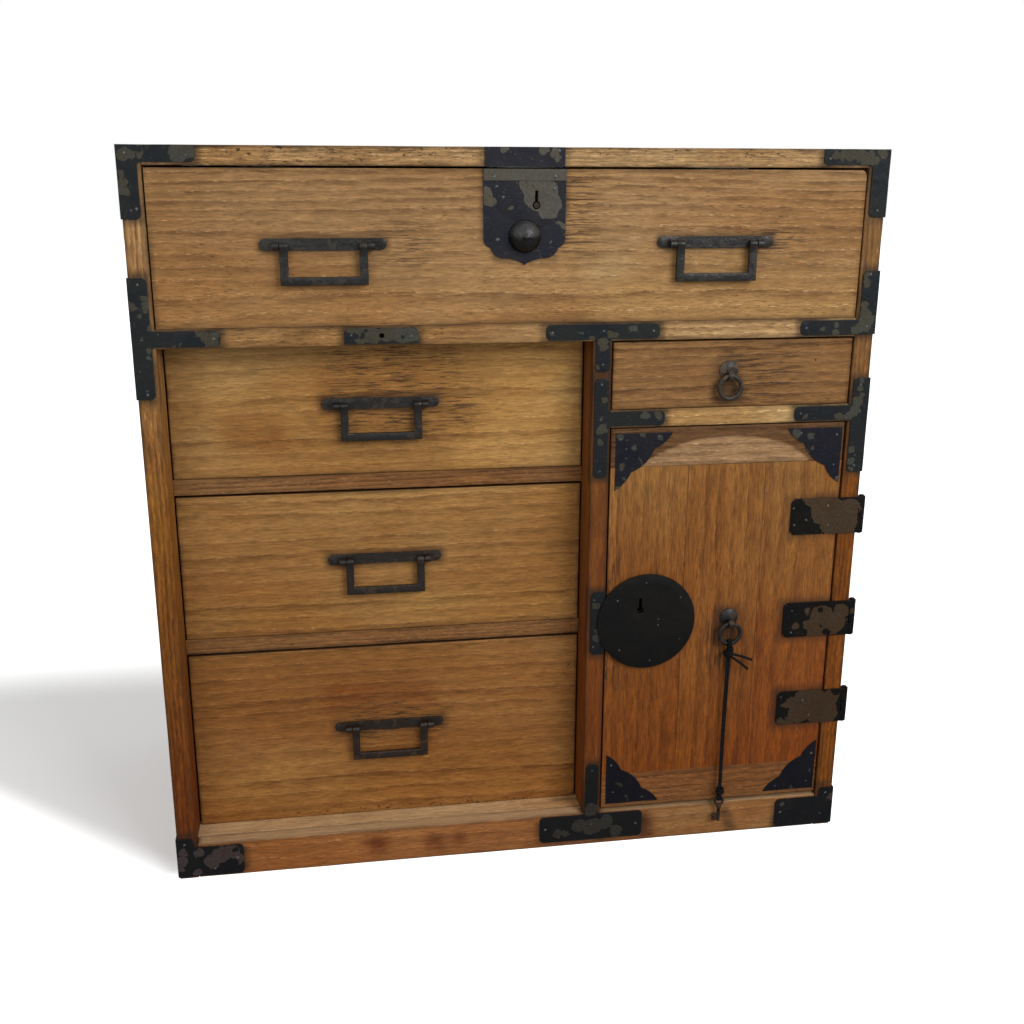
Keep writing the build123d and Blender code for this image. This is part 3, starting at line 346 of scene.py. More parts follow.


# %% [markdown]
# Age comes over the grain: rubbed places, smudges that wander, dark edges, rust round the iron,
# scratches, specks and round worm holes. Low down, and in a band at middle height, the wood is
# redder and darker, and the darkening is painted shade of light from above. Upward faces may take
# a colour of their own: painted shade on the drawers' tops, painted light on the ledge. The wood
# seen through the door's keyhole is painted dark as shade. The marks are boxes on the front, in
# millimetres, and fade away over their reach.


# %% Age
def age(b, deep, rubbed=0.0, smudges=(), pale_arch=None, left_end=None, foot=(1.0, 1.0, 1.0),
        middle=(1.0, 1.0, 1.0), top_face=None, iron_stains=(), stain_reach=0.012, scratches=(),
        specks=(), front=front_face):
    """Lay the marks of use, and painted light and shade, over a board. Hand back its worm holes."""
    if rubbed:
        bald = b.streaks(11, 75, 4, 0.65)
        b.tone((1.55, 1.6, 1.6), b.times(b.span(bald, 0.53, 0.6), rubbed))
    loose = b.vector("MULTIPLY_ADD", b.wander, (0.09, 0.0, 0.07), b.place)
    for box, reach, factor in smudges:
        here = b.near(mm(box), reach, loose, front)
        b.tone(factor, b.times(here, b.span(b.blotch, 0.35, 0.6, 0.45, 1.0)))
    if pale_arch:
        x, z, wide, high = pale_arch
        oval = b.vector("SUBTRACT", b.place, (x, 0.0, z))
        oval = b.vector("MULTIPLY", oval, (1 / wide, 0.0, 1 / high))
        oval = b.calc("MULTIPLY_ADD", b.blotch, 0.25, b.vector("LENGTH", oval, output="Value"))
        outside = b.times(b.span(oval, 1.1, 1.16), b.span(b.high, 0.3, 0.31))
        outside = b.times(outside, b.span(b.deep, -0.19, -0.2))
        b.tone((0.38, 0.3, 0.22), outside)
    if left_end:
        b.tone(left_end, b.span(b.wide, 0.35, -0.2))
    # Low down, and in a band at middle height, the colour is toned: the wood is redder, and the
    # darkening is painted shade of light falling from above. The toning is strongest at the front.
    handled = b.span(b.deep, -0.07, -0.19, 0.4, 1.0)
    b.tone(foot, b.times(b.span(b.high, 0.78, 0.06), handled))
    b.tone(middle, b.times(b.span(b.high, 0.72, 0.45), handled))
    # Upward faces take a given colour: a dark one on the drawers' tops, painted shade of the gap above
    # them, and a pale one on the bottom front rail, painted light from above.
    if top_face:
        upward = b.add("ShaderNodeTexCoord", "Normal", {})
        upward = b.span(b.add("ShaderNodeSeparateXYZ", "Z", {"Vector": upward}), 0.6, 0.8)
        streak = b.mix(b.span(b.blotch, 0.6, 0.7, 0.0, 0.6), top_face, darker(top_face, 0.3))
        b.cover(upward, b.mix(1.0, streak, b.span(b.fibres, 0.28, 0.72, 0.8, 1.15), "MULTIPLY"))
    edge = b.times(b.own("worn"), b.span(b.blotch, 0.38, 0.62, 0.2, 1.0))
    b.cover(b.times(edge, 0.75), darker(deep, 0.3))
    if b.joint:
        b.cover(b.joint, darker(deep, 0.2))
    # Boxes darken the wood: rust round the iron, and on the door also painted shade, the wood seen
    # through the keyhole.
    if iron_stains:
        stain = b.near(mm(*iron_stains), stain_reach, None, front)
        stain = b.times(stain, b.span(b.blotch, 0.3, 0.6, 0.25, 0.75))
        b.cover(stain, (0.018, 0.011, 0.007))
    if scratches:
        lines = b.span(b.streaks(26, 500, 3, 0.7), 0.52, 0.57, 0.0, 0.8)
        lines = b.times(b.near(mm(*scratches), 0.04, None, front), lines)
        b.cover(lines, (0.035, 0.018, 0.009))
    if specks:
        pits = b.span(b.streaks(170, 300, 3, 0.7), 0.6, 0.64, 0.0, 0.9)
        pits = b.times(b.near(mm(*specks), 0.012, None, front), pits)
        b.cover(pits, (0.02, 0.011, 0.006))
    cells = {"Vector": b.in_plank, "Scale": 16.0}
    dot = b.add("ShaderNodeTexVoronoi", "Distance", cells)
    chance = {"Color": b.add("ShaderNodeTexVoronoi", "Color", cells)}
    chance = b.add("ShaderNodeSeparateColor", "Red", chance)
    hole = b.times(b.span(dot, 0.019, 0.014), b.calc("GREATER_THAN", chance, 0.7))
    b.cover(hole, (0.012, 0.007, 0.004))
    return hole


# %% [markdown]
# The same recipe gives every board. What changes is the colour, where the heart of the tree lay, how
# close the rings are, where iron has stained the wood and where a keyhole is painted dark as shade.
# The late wood stands up in fine ridges, because the softer wood between has worn away, and the
# pores and worm holes are dents.


# %% Wood recipe
def wood(name, pale, deep, grain="X", heart=(0.0, 0.1, 0.3), rings=90, ring_depth=0.6, flecks=0.5,
         fibre=0.28, dirt=0.9, ridges=0.6, bend=0.015, planks=None, turned_sides=False, **marks):
    """A wood finish with its rings round the heart line, in rings for each metre."""
    b = Board(name, grain, planks, turned_sides)
    late, pore = grow(b, pale, deep, heart, rings, ring_depth, bend, fibre, flecks, dirt)
    hole = age(b, deep, **marks)
    b.paint("Base Color", b.colour)
    b.paint("Roughness", b.span(b.fibres, 0.3, 0.7, 0.5, 0.72))
    relief = b.calc("MULTIPLY_ADD", late, ridges, b.times(b.fibres, 0.55))
    relief = b.calc("SUBTRACT", relief, b.calc("MULTIPLY_ADD", pore, 0.5, hole))
    b.height(relief, 0.0008)
    return b.finish


# %% Places of the iron on the front
bracket_marks = [
    (-440, 882, -359, 900), (-440, 822, -420, 900), (359, 882, 440, 900), (420, 822, 440, 900),
    (-440, 623, -420, 760), (-440, 682, -345, 700), (420, 682, 440, 760), (345, 682, 440, 700),
    (28, 682, 168, 700), (90, 512, 107, 680), (90, 576, 178, 594),
    (420, 508, 440, 628), (345, 576, 440, 594), (-206, 682, -121, 700), (-43, 879, 49, 900),
    (28, 8, 168, 34), (90, 8, 107, 120), (-440, 3, -358, 34), (358, 3, 440, 34),
    (420, 3, 440, 61), (-440, 3, -420, 61), (91, 277, 110, 363),
]


def plate_mark(x, z):
    """The box of a handle plate round its middle."""
    return (x - 68, z - 4, x + 68, z + 4)


# Painted light: a pale colour for the upward face of the bottom front rail, as if lit from above.
ledge_beige = tint(177, 143, 105)
# Painted shade: a dark colour for the drawers' tops, which lie in the shaded gap above them.
soot = tint(60, 40, 24)
print("iron stands on", len(bracket_marks), "places of the carcass")

# %% [markdown]
# The carcass comes first. The posts are two side boards, and their lower ends are redder and darker;
# the darkening is painted shade of light from above. The rails are paler, and the top of the bottom
# front rail is painted pale beige, a painted highlight as if lit from above.

# %% Wood of the carcass
on_posts = {"grain": "Z", "heart": (0.0, 0.3, 0.0), "ridges": 0.4, "iron_stains": bracket_marks}
old = {
    "left_post": wood(
        "left_post_wood", tint(170, 133, 88), tint(108, 70, 38), rings=260, ring_depth=0.7, fibre=0.3,
        foot=(0.36, 0.18, 0.07), middle=(0.88, 0.68, 0.23), rubbed=0.6, **on_posts),
    "right_post": wood(
        "right_post_wood", tint(125, 89, 48), tint(85, 51, 23), rings=260, ring_depth=0.7, fibre=0.3,
        foot=(0.8, 0.69, 0.54), middle=(1.1, 0.79, 0.22), rubbed=0.6, **on_posts),
    "divider": wood(
        "divider_wood", tint(118, 72, 27), tint(78, 43, 16), rings=200, flecks=0.3, fibre=0.24,
        dirt=0.5, foot=(0.93, 0.67, 0.42), **on_posts),
    "top_board": wood(
        "top_board_wood", tint(172, 137, 92), tint(104, 72, 42), rings=230, flecks=0.8, dirt=1.0,
        ridges=0.7, iron_stains=bracket_marks, specks=[(-420, 894, 420, 900)],
        scratches=[(-400, 912, 400, 915)]),
    "rail": wood(
        "rail_wood", tint(176, 141, 96), tint(115, 80, 48), heart=(0.0, 0.1, 0.45), rings=200,
        flecks=0.7, dirt=1.0, iron_stains=bracket_marks, left_end=(0.72, 0.62, 0.48),
        smudges=[((107, 576, 345, 594), 0.02, (1.14, 1.2, 1.12))]),
    "foot_rail": wood(
        "foot_rail_wood", tint(164, 110, 62), tint(118, 74, 40), heart=(0.0, 0.1, -0.2),
        ring_depth=0.4, fibre=0.24, dirt=1.0, ridges=0.4, iron_stains=bracket_marks,
        foot=(0.9, 0.85, 0.8), top_face=ledge_beige, smudges=[
            ((-198, 22, -194, 24), 0.026, (0.42, 0.26, 0.2)),
            ((-122, 22, -118, 24), 0.024, (0.42, 0.26, 0.2)),
            ((-90, 27, -87, 28), 0.018, (0.4, 0.26, 0.2)),
            ((20, 6, 180, 44), 0.03, (0.8, 0.74, 0.7)),
            ((-100, 10, 0, 34), 0.04, (0.8, 0.76, 0.74)),
            ((200, 4, 440, 48), 0.06, (0.88, 1.15, 1.45)),
            ((174, 8, 178, 40), 0.015, (0.42, 0.36, 0.33)),
            ((295, 4, 298, 32), 0.014, (0.38, 0.36, 0.4))]),
    "blade": wood(
        "blade_wood", tint(142, 102, 61), tint(86, 55, 30), heart=(0.0, 0.1, 0.9), rings=220,
        ring_depth=0.7, flecks=0.6, ridges=0.5, foot=(0.78, 0.66, 0.52)),
    "ledge": wood(
        "ledge_wood", tint(190, 155, 114), tint(146, 112, 79), heart=(0.0, 0.0, 0.3), rings=60,
        ring_depth=0.5, flecks=0.3, fibre=0.24),
    "inner": wood(
        "inner_wood", tint(190, 156, 112), tint(150, 114, 74), heart=(0.0, 0.07, -0.6), rings=40,
        ring_depth=0.5, flecks=0.2, fibre=0.12, dirt=0.3, foot=(0.88, 0.8, 0.72), turned_sides=True),
    "back": wood(
        "back_wood", tint(160, 124, 84), tint(116, 82, 50), heart=(0.0, 0.0, 0.3), rings=60,
        flecks=0.3, fibre=0.16, dirt=0.5, planks=("Z", 0.0, 0.2196)),
}
print("carcass woods:", ", ".join(old))

# %% [markdown]
# The fronts show most. Each handle plate has left a dark halo, and the upper left drawer is scratched
# and split round its handle. The door is redder, and its upper end has a pale arch where an ornament
# kept the light away.

# %% Wood of the fronts
top_plates = [plate_mark(-225.5, 794.5), plate_mark(231.5, 794.5)]
left_plates = [plate_mark(-164.5, z) for z in (604, 406.5, 176.3)]
old["top_drawer"] = wood(
    "top_drawer_wood", tint(158, 120, 75), tint(110, 78, 46), heart=(0.0, 0.12, 0.64), rings=178,
    ring_depth=0.78, flecks=0.6, fibre=0.24, dirt=0.4, ridges=1.0, top_face=soot, stain_reach=0.011,
    iron_stains=top_plates + [(-42, 800, 48, 879), (-30, 778, 36, 800)],
    scratches=[(-152, 790, -120, 800), (304, 792, 322, 800), (52, 800, 70, 860)], smudges=[
        ((110, 700, 400, 760), 0.06, (1.2, 1.36, 1.5)),
        ((110, 780, 400, 860), 0.05, (0.97, 1.01, 1.13)),
        ((-414, 800, -60, 876), 0.08, (0.9, 0.9, 0.95))])
old["small_drawer"] = wood(
    "small_drawer_wood", tint(137, 98, 56), tint(78, 48, 24), heart=(0.0, 0.1, 0.45), rings=150,
    ring_depth=0.7, flecks=0.6, dirt=0.5, ridges=0.7, stain_reach=0.02,
    iron_stains=[(248, 612, 266, 648)], scratches=[(262, 618, 330, 655)],
    smudges=[((290, 596, 414, 678), 0.06, (0.86, 0.84, 0.8))])
old["left_drawer"] = wood(
    "left_drawer_wood", tint(168, 130, 76), tint(114, 77, 40), heart=(0.0, 0.1, -0.3), rings=62,
    ring_depth=0.65, flecks=0.34, fibre=0.24, dirt=0.4, ridges=0.9, bend=0.03, top_face=soot,
    front=recessed_face, foot=(0.66, 0.46, 0.33), iron_stains=left_plates, stain_reach=0.014,
    scratches=[(-205, 612, -90, 678), (-130, 585, -60, 612), (-205, 575, -120, 590),
               (-200, 168, -110, 190)],
    specks=[(-320, 44, 85, 52)], smudges=[
        ((-345, 566, -300, 582), 0.03, (0.74, 0.62, 0.5)),
        ((-235, 590, -95, 675), 0.03, (0.86, 0.78, 0.7)),
        ((-414, 520, -395, 670), 0.03, (0.8, 0.76, 0.74)),
        ((-60, 520, 60, 660), 0.07, (1.2, 1.26, 1.28)),
        ((-414, 48, 85, 100), 0.05, (1.2, 1.3, 1.3)),
        ((-220, 205, -120, 215), 0.035, (0.84, 0.66, 0.56)),
        ((-414, 310, 85, 340), 0.04, (1.08, 1.14, 1.1)),
        ((-414, 360, -270, 500), 0.06, (0.94, 0.88, 0.82))])
old["door"] = wood(
    "door_wood", tint(148, 107, 55), tint(90, 53, 24), grain="Z", heart=(0.75, 0.5, 0.0),
    ring_depth=0.5, flecks=0.32, fibre=0.3, dirt=0.6, ridges=0.4, planks=("X", 0.112, 0.1005),
    foot=(0.68, 0.36, 0.13), stain_reach=0.018, iron_stains=[
        (352, 430, 414, 471), (352, 289, 414, 329), (352, 162, 414, 203), (266, 290, 286, 325),
        # This box is painted shade: it darkens the wood seen through the keyhole.
        (140, 312, 172, 348)],
    scratches=[(113, 240, 116, 400), (262, 255, 270, 300)], smudges=[
        ((330, 100, 413, 280), 0.06, (0.93, 0.82, 0.72)),
        ((112, 100, 200, 250), 0.06, (1.03, 1.12, 1.1))])
old["door_end"] = wood(
    "door_end_wood", tint(164, 131, 94), tint(108, 75, 45), rings=170, ring_depth=0.55, flecks=0.8,
    foot=(0.58, 0.39, 0.24), pale_arch=(0.262, 0.50, 0.118, 0.058))
print("wood finishes:", len(old))

# %% [markdown]
# ## Boards with worn edges
# A solid's edges are perfectly sharp, and no old board's are. A copy of each solid is merged, cut into
# short runs that wander a hair, and bevelled. Loops a few millimetres inside every face let a number
# called worn fall from 1 on the edges to 0 on the faces, and each board gets a plank number. A Bevel
# modifier would round the edges too, but couldn't carry those.


# %% Merge a copy of a solid
def merged(node):
    """A clean bmesh of a solid: loose triangles joined and flat ones dissolved."""
    mesh = bmesh.new()
    mesh.from_mesh(nodes[node].data)
    for layer in list(mesh.loops.layers.uv):
        mesh.loops.layers.uv.remove(layer)
    bmesh.ops.remove_doubles(mesh, verts=mesh.verts, dist=2e-6)
    bmesh.ops.dissolve_limit(mesh, angle_limit=math.radians(0.5), verts=mesh.verts, edges=mesh.edges)
    return mesh


def islands(mesh):
    """The vertices of each separate solid in a mesh, the lowest solid first."""
    left, found = set(mesh.verts), []
    while left:
        group, waiting = set(), [left.pop()]
        while waiting:
            vert = waiting.pop()
            group.add(vert)
            for edge in vert.link_edges:
                other = edge.other_vert(vert)
                if other in left:
                    left.discard(other)
                    waiting.append(other)
        found.append(group)
    return sorted(found, key=lambda group: round(min(vert.co.z for vert in group), 3))


def limits(verts):
    """Lowest and highest corner of some vertices."""
    low = Vector(min(v.co[i] for v in verts) for i in range(3))
    high = Vector(max(v.co[i] for v in verts) for i in range(3))
    return low, high


def cut(mesh, point, normal):
    """Cut a whole mesh along a plane without taking anything away."""
    geom = mesh.verts[:] + mesh.edges[:] + mesh.faces[:]
    bmesh.ops.bisect_plane(mesh, geom=geom, dist=1e-6, plane_co=point, plane_no=normal)


def soften(mesh, width, segments=2, shortest=0.0):
    """Bevel every outward edge and hand back the new faces."""
    sharp = [e for e in mesh.edges if len(e.link_faces) == 2 and e.is_convex
             and e.calc_face_angle() > 0.5 and e.calc_length() > shortest]
    made = bmesh.ops.bevel(mesh, geom=sharp, offset=width, offset_type="OFFSET", segments=segments,
                           profile=0.5, affect="EDGES", clamp_overlap=True, material=-1)
    return set(made["faces"])


def wander_within(mesh, wander):
    """Move every vertex a little, but never out of the box of the whole mesh."""
    low, high = limits(mesh.verts)
    for vert in mesh.verts:
        moved = vert.co + noise.noise_vector(vert.co * 37.0) * wander
        vert.co = Vector(min(max(m, a), b) for m, a, b in zip(moved, low, high))


# %% [markdown]
# The loops are cut with bisect_plane, one plane a few millimetres inside each of the board's six
# faces. A vertex is worn when it is close to two faces at once, which is what an edge is. The runs
# are cut the same way, so every piece of the surface stays a small quad and nothing folds.


# %% Worn boards
run_of_board = 0.05  # an edge wanders in runs of this length


def worn_board(node, finish, width=0.0012, wander=0.0003, reach=0.006, seed=0):
    """Dress one node of boards and let the new piece stand for it."""
    mesh = merged(node)
    boxes = [limits(group) for group in islands(mesh)]
    whole_low, whole_high = limits(mesh.verts)
    axes = [Vector((axis == 0, axis == 1, axis == 2)) for axis in range(3)]
    for axis, normal in enumerate(axes):
        size = whole_high[axis] - whole_low[axis]
        runs = int(size / run_of_board)
        for run in range(1, runs):
            cut(mesh, whole_low + normal * (size * run / runs), normal)
    wander_within(mesh, wander)
    soften(mesh, width, shortest=0.004)
    for low, high in boxes:
        for normal in axes:
            cut(mesh, low + normal * reach, normal)
            cut(mesh, high - normal * reach, normal)
    worn = mesh.verts.layers.float.new("worn")
    plank = mesh.verts.layers.float.new("plank")
    for number, group in enumerate(islands(mesh)):
        low, high = limits(group)
        for vert in group:
            gaps = sorted(min(vert.co[i] - low[i], high[i] - vert.co[i]) for i in range(3))
            vert[worn] = max(0.0, 1.0 - gaps[1] / reach)
            vert[plank] = seed + 0.37 * number
    return file_piece("worn_" + node, mesh, body_of[node], finish, 20, [node])


worn_board("left_side_board", old["left_post"], seed=1)
worn_board("right_side_board", old["right_post"], seed=2)
worn_board("centre_divider", old["divider"], seed=3)
worn_board("top_board", old["top_board"], 0.002, 0.0006, seed=4)
worn_board("bottom_front_rail", old["foot_rail"], 0.002, 0.0006, seed=5)
worn_board("upper_rail", old["rail"], seed=6)
worn_board("small_drawer_rail", old["rail"], seed=7)
worn_board("left_bay_rails", old["blade"], seed=8)
worn_board("top_drawer_front", old["top_drawer"], 0.0015, 0.0004, seed=9)
worn_board("small_drawer_front", old["small_drawer"], 0.0015, 0.0004, seed=10)
for number, level in enumerate(("upper", "middle", "lower")):
    worn_board(level + "_drawer_front", old["left_drawer"], 0.0015, 0.0004, seed=11 + number)
worn_board("door_end_boards", old["door_end"], 0.001, 0.0003, seed=14)

# %% [markdown]
# The boards that are mostly hidden keep their solids and only get a finish. So do the door's boards
# and the back's, which touch each other: their finish counts the boards and draws the joints.

# %% Plain boards
finish_of = {"back_boards": "back", "bottom_board": "ledge", "door_boards": "door"}
for node, slot in slot_of.items():
    if slot == "inner_wood" or node == "door_boards":
        nodes[node].data.materials.clear()
        nodes[node].data.materials.append(old[finish_of.get(node, "inner")])
print("inner boards finished")

# %% [markdown]
# ## Iron
# The sheet iron was blackened over fire and lacquered. Where the lacquer has gone, olive and brown
# patches with crisp edges show. A noise texture cut off sharply gives the patches, a finer one the
# chips, and the patches are rougher than the black. The large spots are listed one by one.


# %% Iron recipe
def round_spots(r, place, points):
    """1 on round spots (x, z, radius in millimetres) of the front, with a crisp edge."""
    total = None
    flat = r.vector("MULTIPLY", place, (1.0, 0.0, 1.0))
    for x, z, radius in points:
        away = r.vector("DISTANCE", flat, (x / 1000, 0.0, z / 1000), output="Value")
        here = r.span(away, radius / 1000, radius / 1000 - 0.0006)
        total = here if total is None else r.calc("MAXIMUM", total, here)
    return total


def iron(name, black, bare, cover, size=34.0, spots=(), chips=0.5, sheen=0.42, dark_spots=(),
         bare_boxes=(), gloss=0.08, under=None, low=(0.55, 0.5, 0.52)):
    """Blackened iron. Cover is where the noise is cut off, so lower means more bare patches."""
    r = Recipe(name, Metallic=0.0, Specular_IOR_Level=gloss)
    ragged = r.grain_of(r.place, scale=95.0, detail=3, output="Color")
    ragged = r.vector("SUBTRACT", ragged, (0.5, 0.5, 0.5))
    ragged = r.vector("MULTIPLY_ADD", ragged, (0.012, 0.012, 0.012), r.place)
    field = r.grain_of(ragged, scale=size, detail=1.5, roughness=0.4)
    bare_here = r.span(field, cover, cover + 0.012)
    if spots:
        bare_here = r.calc("MAXIMUM", bare_here, round_spots(r, ragged, spots))
    if bare_boxes:
        bare_here = r.calc("MAXIMUM", bare_here, r.near(mm(*bare_boxes), 0.0006))
    if dark_spots:
        kept = r.calc("SUBTRACT", 1.0, round_spots(r, ragged, dark_spots))
        bare_here = r.times(bare_here, kept)
    chip = r.grain_of(r.place, scale=260.0, detail=2)
    chip = r.times(r.span(chip, 0.66, 0.7), chips)
    bare_here = r.calc("MAXIMUM", bare_here, chip)

    hue = r.grain_of(r.place, scale=22.0, detail=2)
    fine = r.grain_of(r.place, scale=420.0, detail=2)
    browner = tuple(c * f for c, f in zip(bare, (1.0, 0.88, 0.74)))
    bluer = tuple(c * f for c, f in zip(black, (0.75, 0.82, 0.95)))
    patch = r.mix(r.span(hue, 0.4, 0.6), bare, browner)
    patch = r.mix(1.0, patch, r.span(fine, 0.3, 0.7, 0.8, 1.15), "MULTIPLY")
    ground = r.mix(r.span(hue, 0.35, 0.65), black, bluer)
    colour = r.mix(r.times(bare_here, 0.88), ground, patch)
    colour = r.mix(r.times(r.own("worn"), 0.3), colour, bare)
    # Towards the bottom the colour is multiplied by a given factor; where it darkens the iron, it is
    # painted shade of light from above.
    colour = r.mix(r.span(r.high, 0.75, 0.05), colour, r.mix(1.0, colour, low, "MULTIPLY"))
    # Faces turned sideways and down take a given dark colour: painted shade of light from above.
    if under:
        facing = r.add("ShaderNodeTexCoord", "Normal", {})
        facing = r.add("ShaderNodeSeparateXYZ", "Z", {"Vector": facing})
        facing = r.calc("MULTIPLY_ADD", fine, 0.3, facing)
        colour = r.mix(r.span(facing, 0.4, 0.05), colour, under)
    r.paint("Base Color", colour)
    rough = r.span(fine, 0.3, 0.7, sheen - 0.06, sheen + 0.1)
    r.paint("Roughness", r.calc("MULTIPLY_ADD", bare_here, 0.2, rough))
    dents = r.grain_of(r.place, scale=80.0, detail=2)
    relief = r.calc("MULTIPLY_ADD", fine, 0.25, dents)
    r.height(r.calc("MULTIPLY_ADD", bare_here, -0.2, relief), 0.0012)
    return r.finish


# %% [markdown]
# Each kind of fitting has its own iron. The lock plate and the corner plates of the door are bluish
# black. The hinge straps are mostly bare and brown, with black left at their ends. The bars of the
# handles are polished by hands. The push button's lower half is painted near black, a painted shade
# of light falling from above.

# %% Iron finishes
olive = tint(70, 70, 63)
metal = {
    "lock": iron(
        "lock_plate_iron", tint(40, 40, 45), tint(86, 83, 74), cover=0.69, size=30.0,
        bare_boxes=[(-45, 864, 51, 877)], spots=[
            (22, 848, 20), (30, 838, 16), (8, 858, 12), (20, 861, 14), (-40, 846, 8), (-38, 842, 8),
            (-43, 851, 7), (-13, 834, 2.6), (-20, 898, 6), (22, 897, 6), (36, 895, 6), (40, 888, 4)]),
    "corner": iron(
        "door_corner_iron", tint(33, 33, 39), olive, cover=0.66, size=48.0, chips=0.35, spots=[
            (350, 560, 6), (368, 557, 5), (359, 546, 3.4), (373, 540, 3), (409, 500, 4), (123, 563, 5),
            (151, 567, 4.6), (173, 560, 3.4), (142, 549, 3.6), (126, 525, 4.4), (122, 499, 4)]),
    "disc": iron("disc_iron", tint(29, 28, 25), tint(40, 38, 33), cover=0.72, size=20.0, chips=0.2,
                 sheen=0.5),
    "strap": iron(
        "strap_iron", tint(20, 19, 17), tint(74, 60, 46), cover=0.57, size=30.0, chips=0.4, sheen=0.48,
        low=(0.71, 0.68, 0.7), spots=[
            (398, 457, 21), (415, 445, 26), (428, 458, 16), (425, 436, 14), (402, 315, 14),
            (420, 303, 17), (392, 300, 10), (428, 318, 12), (396, 190, 24), (415, 175, 22),
            (383, 176, 16), (425, 196, 12), (382, 321, 5), (368, 300, 5.5)],
        dark_spots=[
            (358, 462, 13), (356, 440, 13), (371, 433, 6), (448, 451, 8), (448, 309, 8),
            (352, 199, 11), (430, 204, 7), (448, 182, 8), (400, 322, 4), (410, 290, 5)]),
    "handle": iron("handle_iron", tint(28, 26, 23), tint(43, 38, 32), cover=0.6, size=70.0, chips=0.4,
                   sheen=0.36, gloss=0.35, low=(1.45, 0.83, 0.54)),
    "pull": iron("pull_iron", tint(54, 46, 38), tint(86, 74, 60), cover=0.56, size=90.0, sheen=0.38,
                 gloss=0.25),
    "door_pull": iron("door_pull_iron", tint(32, 29, 26), tint(66, 50, 36), cover=0.56, size=90.0,
                      sheen=0.36, gloss=0.3),
    "works": iron("lock_works_iron", tint(54, 46, 38), tint(84, 70, 56), cover=0.5, size=40.0),
    "knob": iron("knob_iron", tint(56, 53, 51), tint(78, 74, 68), cover=0.66, size=60.0, chips=0.4,
                 sheen=0.3, gloss=0.3, under=tint(12, 12, 11)),
}
print("iron finishes:", ", ".join(metal))

# %% [markdown]
# The sheets were cut by hand, so their outlines wander by a quarter of a millimetre. Their bevels are
# narrow, and the row of points in the middle of each bevel is the rubbed edge. The faces are split
# into well-shaped triangles before they wander, because a large crooked face folds.


# %% Worn iron
most_cuts = 40  # for one edge, so that long straps stay light


def worn_iron(node, finish, width=0.00035, wander=0.00025, run=0.006, smooth=20, segments=2):
    """Dress one node of sheet iron or bar."""
    mesh = merged(node)
    if wander:
        for edge in [e for e in mesh.edges if e.calc_length() > 1.5 * run]:
            cuts = min(most_cuts, int(edge.calc_length() / run))
            bmesh.ops.bisect_edges(mesh, edges=[edge], cuts=cuts)
    strip = soften(mesh, width, segments)
    worn = mesh.verts.layers.float.new("worn")
    for vert in mesh.verts:
        vert[worn] = float(all(face in strip for face in vert.link_faces))
    crooked = [face for face in mesh.faces if len(face.verts) > 4]
    bmesh.ops.triangulate(mesh, faces=crooked, quad_method="BEAUTY", ngon_method="BEAUTY")
    wander_within(mesh, wander)
    return file_piece("worn_" + node, mesh, body_of[node], finish, smooth, [node])


patches = {
    "top_corner_brackets": [
        (-433, 889, 8), (-375, 893, 11), (-365, 893, 8), (-437, 869, 4.5), (-437, 860, 5.7),
        (-437, 852, 4.5), (372, 893, 6), (382, 892, 7), (392, 893, 7.4), (403, 893, 8),
        (415, 893, 6), (423, 887, 6), (432, 895, 6)],
    "left_rail_bracket": [
        (-424, 737, 4), (-423, 729, 4.6), (-423, 724, 4), (-433, 728, 1.5), (-431, 719, 2.3),
        (-421, 702, 4), (-413, 697, 1.6), (-369, 697, 4.5), (-361, 694, 6.8), (-355, 688, 7.9),
        (-351, 694, 5.7), (-396, 684, 2), (-390, 683, 2), (-423, 679, 3.4), (-423, 671, 3.6),
        (-430, 693, 2), (-434, 657, 1.6), (-430, 634, 2.3)],
    "right_rail_brackets": [
        (425, 753, 4.2), (426, 745, 5.8), (425, 718, 5.2), (425, 707, 7.8), (426, 693, 9.4),
        (433, 700, 6.2), (416, 688, 6.2), (390, 694, 4.2), (391, 685, 4.2), (374, 691, 3.1),
        (430, 626, 3.7), (429, 616, 4.7), (427, 598, 7.3), (424, 587, 7.8), (432, 606, 4.2),
        (404, 581, 6.2), (415, 581, 6.2), (358, 582, 3.1), (423, 537, 4.7), (425, 522, 5.2),
        (426, 512, 3.4)],
    "divider_brackets": [
        (37, 689, 3.4), (72, 689, 2.3), (85, 684, 3.9), (107, 688, 4.8), (114, 687, 3.4),
        (99, 679, 6.2), (99, 673, 4.8), (102, 609, 4.4), (99, 587, 2), (99, 574, 7.3),
        (97, 556, 4.4), (96, 521, 2), (153, 589, 5.2), (170, 588, 5.8), (83, 31, 10.1),
        (101, 27, 13.3), (99, 53, 10.1), (119, 33, 10.9), (133, 19, 9), (53, 20, 6.8),
        (64, 20, 6.2)],
    "bottom_corner_brackets": [
        (-433, 39, 6.7), (-435, 26, 7.4), (-438, 15, 5), (-413, 36, 7.4), (-398, 23, 10),
        (-385, 32, 12.4), (-373, 35, 10), (-366, 25, 8), (-417, 8, 5.4), (369, 37, 3.6)],
    "rail_lock_plate": [
        (-197, 699, 7), (-186, 693, 10), (-172, 692, 10), (-158, 692, 9), (-145, 692, 10),
        (-131, 692, 9), (-122, 692, 7)],
    "door_strike_plate": [(98, 345, 5), (99, 300, 6)],
}
still_black = [(-369, 37, 4.3), (-371, 17, 6.2), (-194, 692, 3.7), (-186, 693, 3.7), (-181, 697, 2.5),
               (-139, 691, 2.8)]
for node, spots in patches.items():
    bare = tint(90, 81, 78) if node == "bottom_corner_brackets" else olive
    worn_iron(node, iron(node + "_iron", tint(37, 39, 39), bare, cover=0.7, size=40.0, spots=spots,
                         chips=0.35, dark_spots=still_black))
for node in ("top_lock_keeper", "top_lock_plate"):
    worn_iron(node, metal["lock"])
worn_iron("door_corner_plates", metal["corner"])
